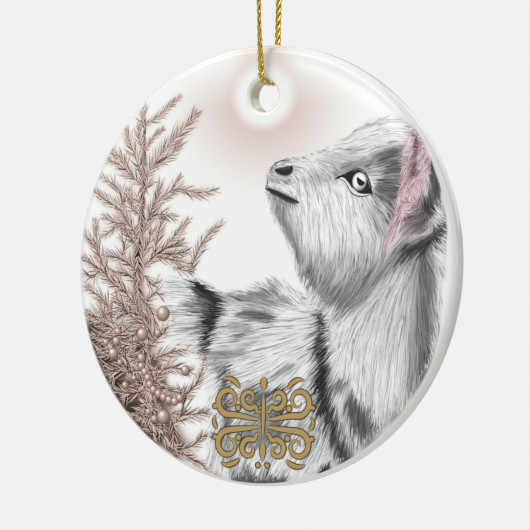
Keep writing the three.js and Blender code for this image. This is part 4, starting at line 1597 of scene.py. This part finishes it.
def knot_coils():
    """Rings of the knot's yarns: wraps round the strands, and one pass over the wraps."""
    thick = bpy.context.scene.ornament_cord.diameter / MM
    low, high = KNOT_LOW.z / MM, KNOT_HIGH.z / MM
    reach = (KNOT_HIGH.x - KNOT_LOW.x) / 2 / MM - thick / 2
    t = np.linspace(0, 1, WRAP_STATIONS)
    angle = 2 * np.pi * (KNOT_WRAPS * t - 0.1)
    height = low + thick / 2 + (high - low - thick) * t
    ends = np.clip(KNOT_TUCK - t, 0, 1) + np.clip(t - (1 - KNOT_TUCK), 0, 1)
    inner = reach * (1 - 0.55 * ends / KNOT_TUCK)
    wraps = np.stack([inner * np.cos(angle), inner * np.sin(angle), height], 1)
    wraps[:, 2] += KNOT_TILT * np.cos(angle - 0.6)
    over = smooth_line([(x, y, low + up) for x, y, up in KNOT_OVER], 14)
    return laid_yarns(wraps, reference=(0, 0, 1)) + laid_yarns(over, reference=(0, 0, 1))


def filament(tip, forward, draw):
    """One loose thread at a tail's opened end."""
    root = tip - forward * draw.uniform(0.1, 0.7) + draw.normal(0, 0.2, 3)
    away = forward + draw.normal(0, 0.38, 3)
    away /= np.linalg.norm(away)
    reach = draw.uniform(*FILAMENT_LENGTHS)
    sag = draw.normal(0, 0.25, 3)
    line = smooth_line([root, root + away * reach * 0.5 + sag * 0.2, root + away * reach + sag], 4)
    return plain_tube(line, draw.uniform(*FILAMENT_RADII))


def tail_yarns(top, side, draw):
    """Rings of one tail's yarns, spreading towards its end, with the filaments beyond it."""
    line = smooth_line([(0, side * CROTCH_OFF * 0.6, KNOT_HIGH.z / MM - 0.9)] + [
        (0, side * (CROTCH_OFF + TAIL_SPREAD * out), TAIL_FOOT + (top - 1.6 - TAIL_FOOT) * up)
        for out, up in ((0, 0), (0.18, 0.35), (0.52, 0.7), (1.0, 1.0))
    ], 16)
    line = resampled(line, TAIL_STATIONS)
    share = np.linspace(0, 1, TAIL_STATIONS)
    opened = 1 + 0.9 * np.clip((share - TAIL_OPENS) / (1 - TAIL_OPENS), 0, 1) ** 1.5
    yarns = laid_yarns(line, spread=opened)
    tip, before = line[-1], line[-4]
    forward = (tip - before) / np.linalg.norm(tip - before)
    return yarns + [filament(tip, forward, draw) for _ in range(FILAMENTS)]


def knot_and_tails(material):
    """Wraps of the cord drawn tight round itself, and two short tails with opened ends."""
    knot = outward(yarn_piece("gold_knot", knot_coils(), material, "hanger"))
    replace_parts(knot, "cord_knot")
    made = [knot]
    draw = draws(80)
    for name, node, side in (
        ("gold_tail_front", "tail_front", -1), ("gold_tail_back", "tail_back", 1)
    ):
        top = (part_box(node)[1] / MM).z
        tail = outward(yarn_piece(name, tail_yarns(top, side, draw), material, "hanger"))
        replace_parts(tail, node)
        made.append(tail)
    return made


def plain_tube(line, radius, sides=5):
    """Rings round a short line, for one loose filament."""
    along = np.gradient(line, axis=0)
    along /= np.linalg.norm(along, axis=1, keepdims=True)
    first = np.cross(along, (0.31, 0.52, 0.79))
    first /= np.linalg.norm(first, axis=1, keepdims=True)
    second = np.cross(along, first)
    angle = np.linspace(0, 2 * np.pi, sides, endpoint=False)
    size = radius * np.linspace(1, 0.5, len(line))
    ring = (
        np.cos(angle)[None, :, None] * first[:, None]
        + np.sin(angle)[None, :, None] * second[:, None]
    )
    return line[:, None] + ring * size[:, None, None]


def cord_loop(material, knot_pieces):
    """Both strands and the bight, cut from one run of twisted cord."""
    route = cord_route()
    yarns = laid_yarns(route, flat=pressed_flat(route))
    below = np.flatnonzero(route[:, 2] < JOIN_Z)
    first, last = below[0], below[-1]
    pieces = {}
    for name, node, a, b in (
        ("gold_strand_front", "strand_front", 0, first + 1),
        ("gold_bight", "cord_bight", first, last + 1),
        ("gold_strand_back", "strand_back", last, len(route)),
    ):
        piece = outward(yarn_piece(name, [rings[a:b] for rings in yarns], material))
        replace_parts(piece, node)
        pieces[name] = piece, route[a:b]
    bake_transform(pieces["gold_bight"][0])
    for name in ("gold_strand_front", "gold_strand_back"):
        piece, line = pieces[name]
        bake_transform(piece)
        line = line if name.endswith("back") else line[::-1]
        run_length(line) * MM


# ---------------------------------------------------------------------------------------------
# Stage
# ---------------------------------------------------------------------------------------------

AIM_RIGHT = -0.209  # mm; the camera stands this far right of the line through the disc's centre
AIM_UP = 0.0743
SENSOR_WIDTH = 36
NEAREST = 0.01
LIGHT_BELOW = 0.08  # strength of the room's light from straight below and straight above
LIGHT_ABOVE = 0.72
FLOOR_RADIUS = 360
FLOOR_SIDES = 96
# Rings of the card from its middle out: radius and drop below its top, in millimetres
FLOOR_RINGS = [(0.5, 0), (FLOOR_RADIUS / 2, 0), (FLOOR_RADIUS - 0.72, 0), (FLOOR_RADIUS, 0.8),
               (FLOOR_RADIUS, 3)]
# name, bearing, height (degrees), distance, width, height (metres), watts, tint
LAMPS = [
    ("key_softbox", -42, 41, 0.80, 0.95, 0.46, 5.0, "#fffdf9"),
    ("fill_panel", 62, 18, 1.00, 0.70, 0.70, 0.85, "#f7faff"),
    ("top_panel", -20, 78, 0.80, 0.60, 0.40, 1.1, "#ffffff"),
    ("rim_panel", -24, 10, 0.90, 0.16, 0.13, 0.19, "#ffffff"),
    ("back_panel", 165, 30, 0.90, 0.60, 0.60, 1.4, "#ffffff"),
]


def bearing(azimuth, elevation):
    """A unit vector out from the printed face, turned right by azimuth and up by elevation."""
    return Vector((
        math.sin(azimuth) * math.cos(elevation),
        -math.cos(azimuth) * math.cos(elevation),
        math.sin(elevation),
    ))


def camera():
    """A long lens to the right of the printed face, just below its middle."""
    sizes = bpy.context.scene.ornament_stage
    out = bearing(sizes.azimuth, sizes.elevation)
    right = Vector((math.cos(sizes.azimuth), math.sin(sizes.azimuth), 0))
    up = out.cross(right)
    c, s = math.cos(sizes.roll), math.sin(sizes.roll)
    right, up = right * c + up * s, up * c - right * s
    place = Vector((0, 0, CENTRE_Z * MM)) + out * sizes.distance
    place += right * AIM_RIGHT * MM + up * AIM_UP * MM
    data = bpy.data.cameras.new("camera")
    data.lens = sizes.lens
    data.sensor_width = SENSOR_WIDTH
    data.clip_start = NEAREST
    made = bpy.data.objects.new("camera", data)
    made.matrix_world = Matrix.Translation(place) @ Matrix((right, up, out)).transposed().to_4x4()
    bpy.context.collection.objects.link(made)
    bpy.context.scene.camera = made


def lamps():
    """Soft rectangular lamps, all turned to the middle of the disc."""
    centre = Vector((0, 0, CENTRE_Z * MM))
    for name, azimuth, elevation, distance, wide, tall, watts, tint in LAMPS:
        data = bpy.data.lights.new(name, "AREA")
        data.shape = "RECTANGLE"
        data.size, data.size_y = wide, tall
        data.energy = watts
        data.color = linear(tint)
        out = bearing(math.radians(azimuth), math.radians(elevation))
        made = bpy.data.objects.new(name, data)
        turned = out.to_track_quat("Z", "Y").to_matrix().to_4x4()
        made.matrix_world = Matrix.Translation(centre + out * distance) @ turned
        bpy.context.collection.objects.link(made)


def backdrop():
    """Even pale grey to the eye, and a softer light from above than from below."""
    scene = bpy.context.scene
    scene.view_settings.view_transform = "Standard"
    scene.world = bpy.data.worlds.new("pale_room")
    scene.world.use_nodes = True
    tree = scene.world.node_tree
    tree.nodes.clear()
    place = add(tree, "ShaderNodeTexCoord").outputs["Generated"]
    height = add(tree, "ShaderNodeSeparateXYZ", links={"Vector": place})
    glow = add(
        tree, "ShaderNodeMapRange",
        {"From Min": -1, "From Max": 1, "To Min": LIGHT_BELOW, "To Max": LIGHT_ABOVE},
        {"Value": height.outputs["Z"]},
    )
    light = add(
        tree, "ShaderNodeBackground", {"Color": (1, 1, 1, 1)}, {"Strength": glow.outputs["Result"]}
    )
    seen = add(
        tree, "ShaderNodeBackground", {"Color": (*scene.ornament_stage.backdrop, 1), "Strength": 1}
    )
    which = add(tree, "ShaderNodeLightPath").outputs["Is Camera Ray"]
    mix = add(
        tree, "ShaderNodeMixShader",
        links={0: which, 1: light.outputs["Background"], 2: seen.outputs["Background"]},
    )
    add(tree, "ShaderNodeOutputWorld", links={"Surface": mix.outputs["Shader"]})


def pale_card():
    """Matt white card: no gloss, a faint tooth."""
    material, tree = blank("matt_white_card")
    finish_with(
        tree, {"Roughness": 0.9, "Specular IOR Level": 0.2},
        {"Base Color": tinted(tree, linear("#d6d6d5"), linear("#d5d5d4"), 30.0)},
    )
    return material


def floor():
    """A round card well under the ornament, with a thin turned-down edge."""
    sizes = bpy.context.scene.ornament_stage
    height = (DISC_LOW.z - sizes.floor_drop) / MM
    angle = np.linspace(0, 2 * np.pi, FLOOR_SIDES, endpoint=False)
    rings = []
    for radius, drop in FLOOR_RINGS:
        level = np.full(FLOOR_SIDES, height - drop)
        rings.append(np.stack([radius * np.cos(angle), radius * np.sin(angle), level], 1))
    faces = sheet_faces(len(rings), FLOOR_SIDES, wrap_columns=True, flip=True)
    made = mesh_object("floor_card", np.vstack(rings), faces, pale_card())


# ---------------------------------------------------------------------------------------------
# Operators
# ---------------------------------------------------------------------------------------------


def made_once(build, kind):
    """The material of this name if it is there, or a new one."""
    return bpy.data.materials.get(kind) or build()


def strokes_material():
    """The dye of the strokes and small shapes."""
    return made_once(lambda: pressed_dye("graded_dye"), "graded_dye")


def foil_material():
    """The gold yarn of the whole cord."""
    gold = bpy.context.scene.ornament_cord.gold
    return made_once(lambda: gold_foil_yarn(gold), "metallised_gold_yarn")


class ORNAMENT_OT_stage(bpy.types.Operator):
    """Camera, soft lamps, pale room and floor card"""

    bl_idname = "ornament.stage"
    bl_label = "Stage"

    def execute(self, context):
        camera()
        lamps()
        backdrop()
        floor()
        return {"FINISHED"}


class ORNAMENT_OT_cord(bpy.types.Operator):
    """Twisted gold cord: both strands, the bight through the hole, the knot and its tails"""

    bl_idname = "ornament.cord"
    bl_label = "Gold Cord"

    def execute(self, context):
        material = foil_material()
        cord_loop(material, knot_and_tails(material))
        return {"FINISHED"}


class ORNAMENT_OT_disc(bpy.types.Operator):
    """Glazed ceramic body with its hole and rolled edge"""

    bl_idname = "ornament.disc"
    bl_label = "Glazed Disc"

    def execute(self, context):
        disc = outward(glazed_disc(white_glaze(context.scene.ornament_disc.glaze)))
        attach(disc, "disc")
        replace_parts(disc, "ceramic_disc")
        return {"FINISHED"}


class ORNAMENT_OT_ground(bpy.types.Operator):
    """Even tones of the print: paper white, glow, haze and the tones below the strokes"""

    bl_idname = "ornament.ground"
    bl_label = "Print Ground"

    def execute(self, context):
        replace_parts(print_ground(pressed_dye("sublimated_dye_coat")), "print_coat")
        return {"FINISHED"}


class ORNAMENT_OT_fir(bpy.types.Operator):
    """Printed fir tree: stems and needles"""

    bl_idname = "ornament.fir"
    bl_label = "Fir Tree"

    def execute(self, context):
        fir_tree(strokes_material())
        return {"FINISHED"}


class ORNAMENT_OT_baubles(bpy.types.Operator):
    """Printed pearly balls and a bead garland on the tree"""

    bl_idname = "ornament.baubles"
    bl_label = "Baubles"

    def execute(self, context):
        count = int(run_length(BEADS) / BEAD_STEP)
        garland = [(u, v, BEAD_RADIUS) for u, v in resampled(BEADS, count)]
        domes("tree_baubles", BAUBLES + garland, strokes_material(), bauble_paint)
        return {"FINISHED"}


class ORNAMENT_OT_fur(bpy.types.Operator):
    """Printed fur of the body, neck, head and ear"""

    bl_idname = "ornament.fur"
    bl_label = "Fur"

    def execute(self, context):
        ink = strokes_material()
        fine = {"wide": 0.62, "contrast": 1.15, "tangle": 0.04}
        fur("fur_body_under", BODY, BODY_COMBS, ink, 1, cover=1.3, wide=1.7, contrast=0.40)
        fur(
            "fur_body", BODY, BODY_COMBS, ink, 2, cover=0.95, wide=0.80, contrast=1.15,
            tangle=0.045,
        )
        edge_fur("fur_body_edge", BODY, BODY_COMBS, ink, 3)
        fur("fur_head_under", HEAD_AND_NECK, HEAD_COMBS, ink, 4, cover=1.3, wide=1.6, contrast=0.30)
        fur("fur_head", HEAD_AND_NECK, HEAD_COMBS, ink, 5, cover=0.92, **fine)
        edge_fur("fur_head_edge", HEAD_AND_NECK, HEAD_COMBS, ink, 6)
        fur("fur_ear", EAR, EAR_COMBS, ink, 7, cover=0.85, **fine)
        return {"FINISHED"}


class ORNAMENT_OT_face(bpy.types.Operator):
    """Printed eye, nostril and mouth of the kid"""

    bl_idname = "ornament.face"
    bl_label = "Face"

    def execute(self, context):
        kid_face(strokes_material())
        return {"FINISHED"}


class ORNAMENT_OT_flourish(bpy.types.Operator):
    """Plain gold scrollwork below the body"""

    bl_idname = "ornament.flourish"
    bl_label = "Flourish"

    def execute(self, context):
        flourish(strokes_material())
        return {"FINISHED"}


class ORNAMENT_PT_panel(bpy.types.Panel):
    """Lists what the ornament is made of"""

    bl_idname = "ORNAMENT_PT_panel"
    bl_label = "Ornament"
    bl_space_type = "VIEW_3D"
    bl_region_type = "UI"
    bl_category = "Ornament"

    def draw(self, context):
        for name, group in GROUPS.items():
            box = self.layout.box()
            for field in group.__annotations__:
                box.prop(getattr(context.scene, name), field)
        for step in STEPS:
            self.layout.operator(step.bl_idname)


GROUPS = {
    "ornament_stage": ORNAMENT_PG_stage,
    "ornament_cord": ORNAMENT_PG_cord,
    "ornament_disc": ORNAMENT_PG_disc,
    "ornament_picture": ORNAMENT_PG_picture,
}
STEPS = (
    ORNAMENT_OT_stage,
    ORNAMENT_OT_cord,
    ORNAMENT_OT_disc,
    ORNAMENT_OT_ground,
    ORNAMENT_OT_fir,
    ORNAMENT_OT_baubles,
    ORNAMENT_OT_fur,
    ORNAMENT_OT_face,
    ORNAMENT_OT_flourish,
)
CLASSES = (*GROUPS.values(), *STEPS, ORNAMENT_PT_panel)


def register():
    """Adds the classes and the scene's groups of sizes."""
    for kind in CLASSES:
        bpy.utils.register_class(kind)
    for name, group in GROUPS.items():
        setattr(bpy.types.Scene, name, bpy.props.PointerProperty(type=group))


def unregister():
    """Takes them away again."""
    for name in GROUPS:
        delattr(bpy.types.Scene, name)
    for kind in reversed(CLASSES):
        bpy.utils.unregister_class(kind)


def main():
    """Builds every piece in order."""
    register()
    for step in STEPS:
        group, name = step.bl_idname.split(".")
        getattr(getattr(bpy.ops, group), name)()


if __name__ == "__main__":
    main()
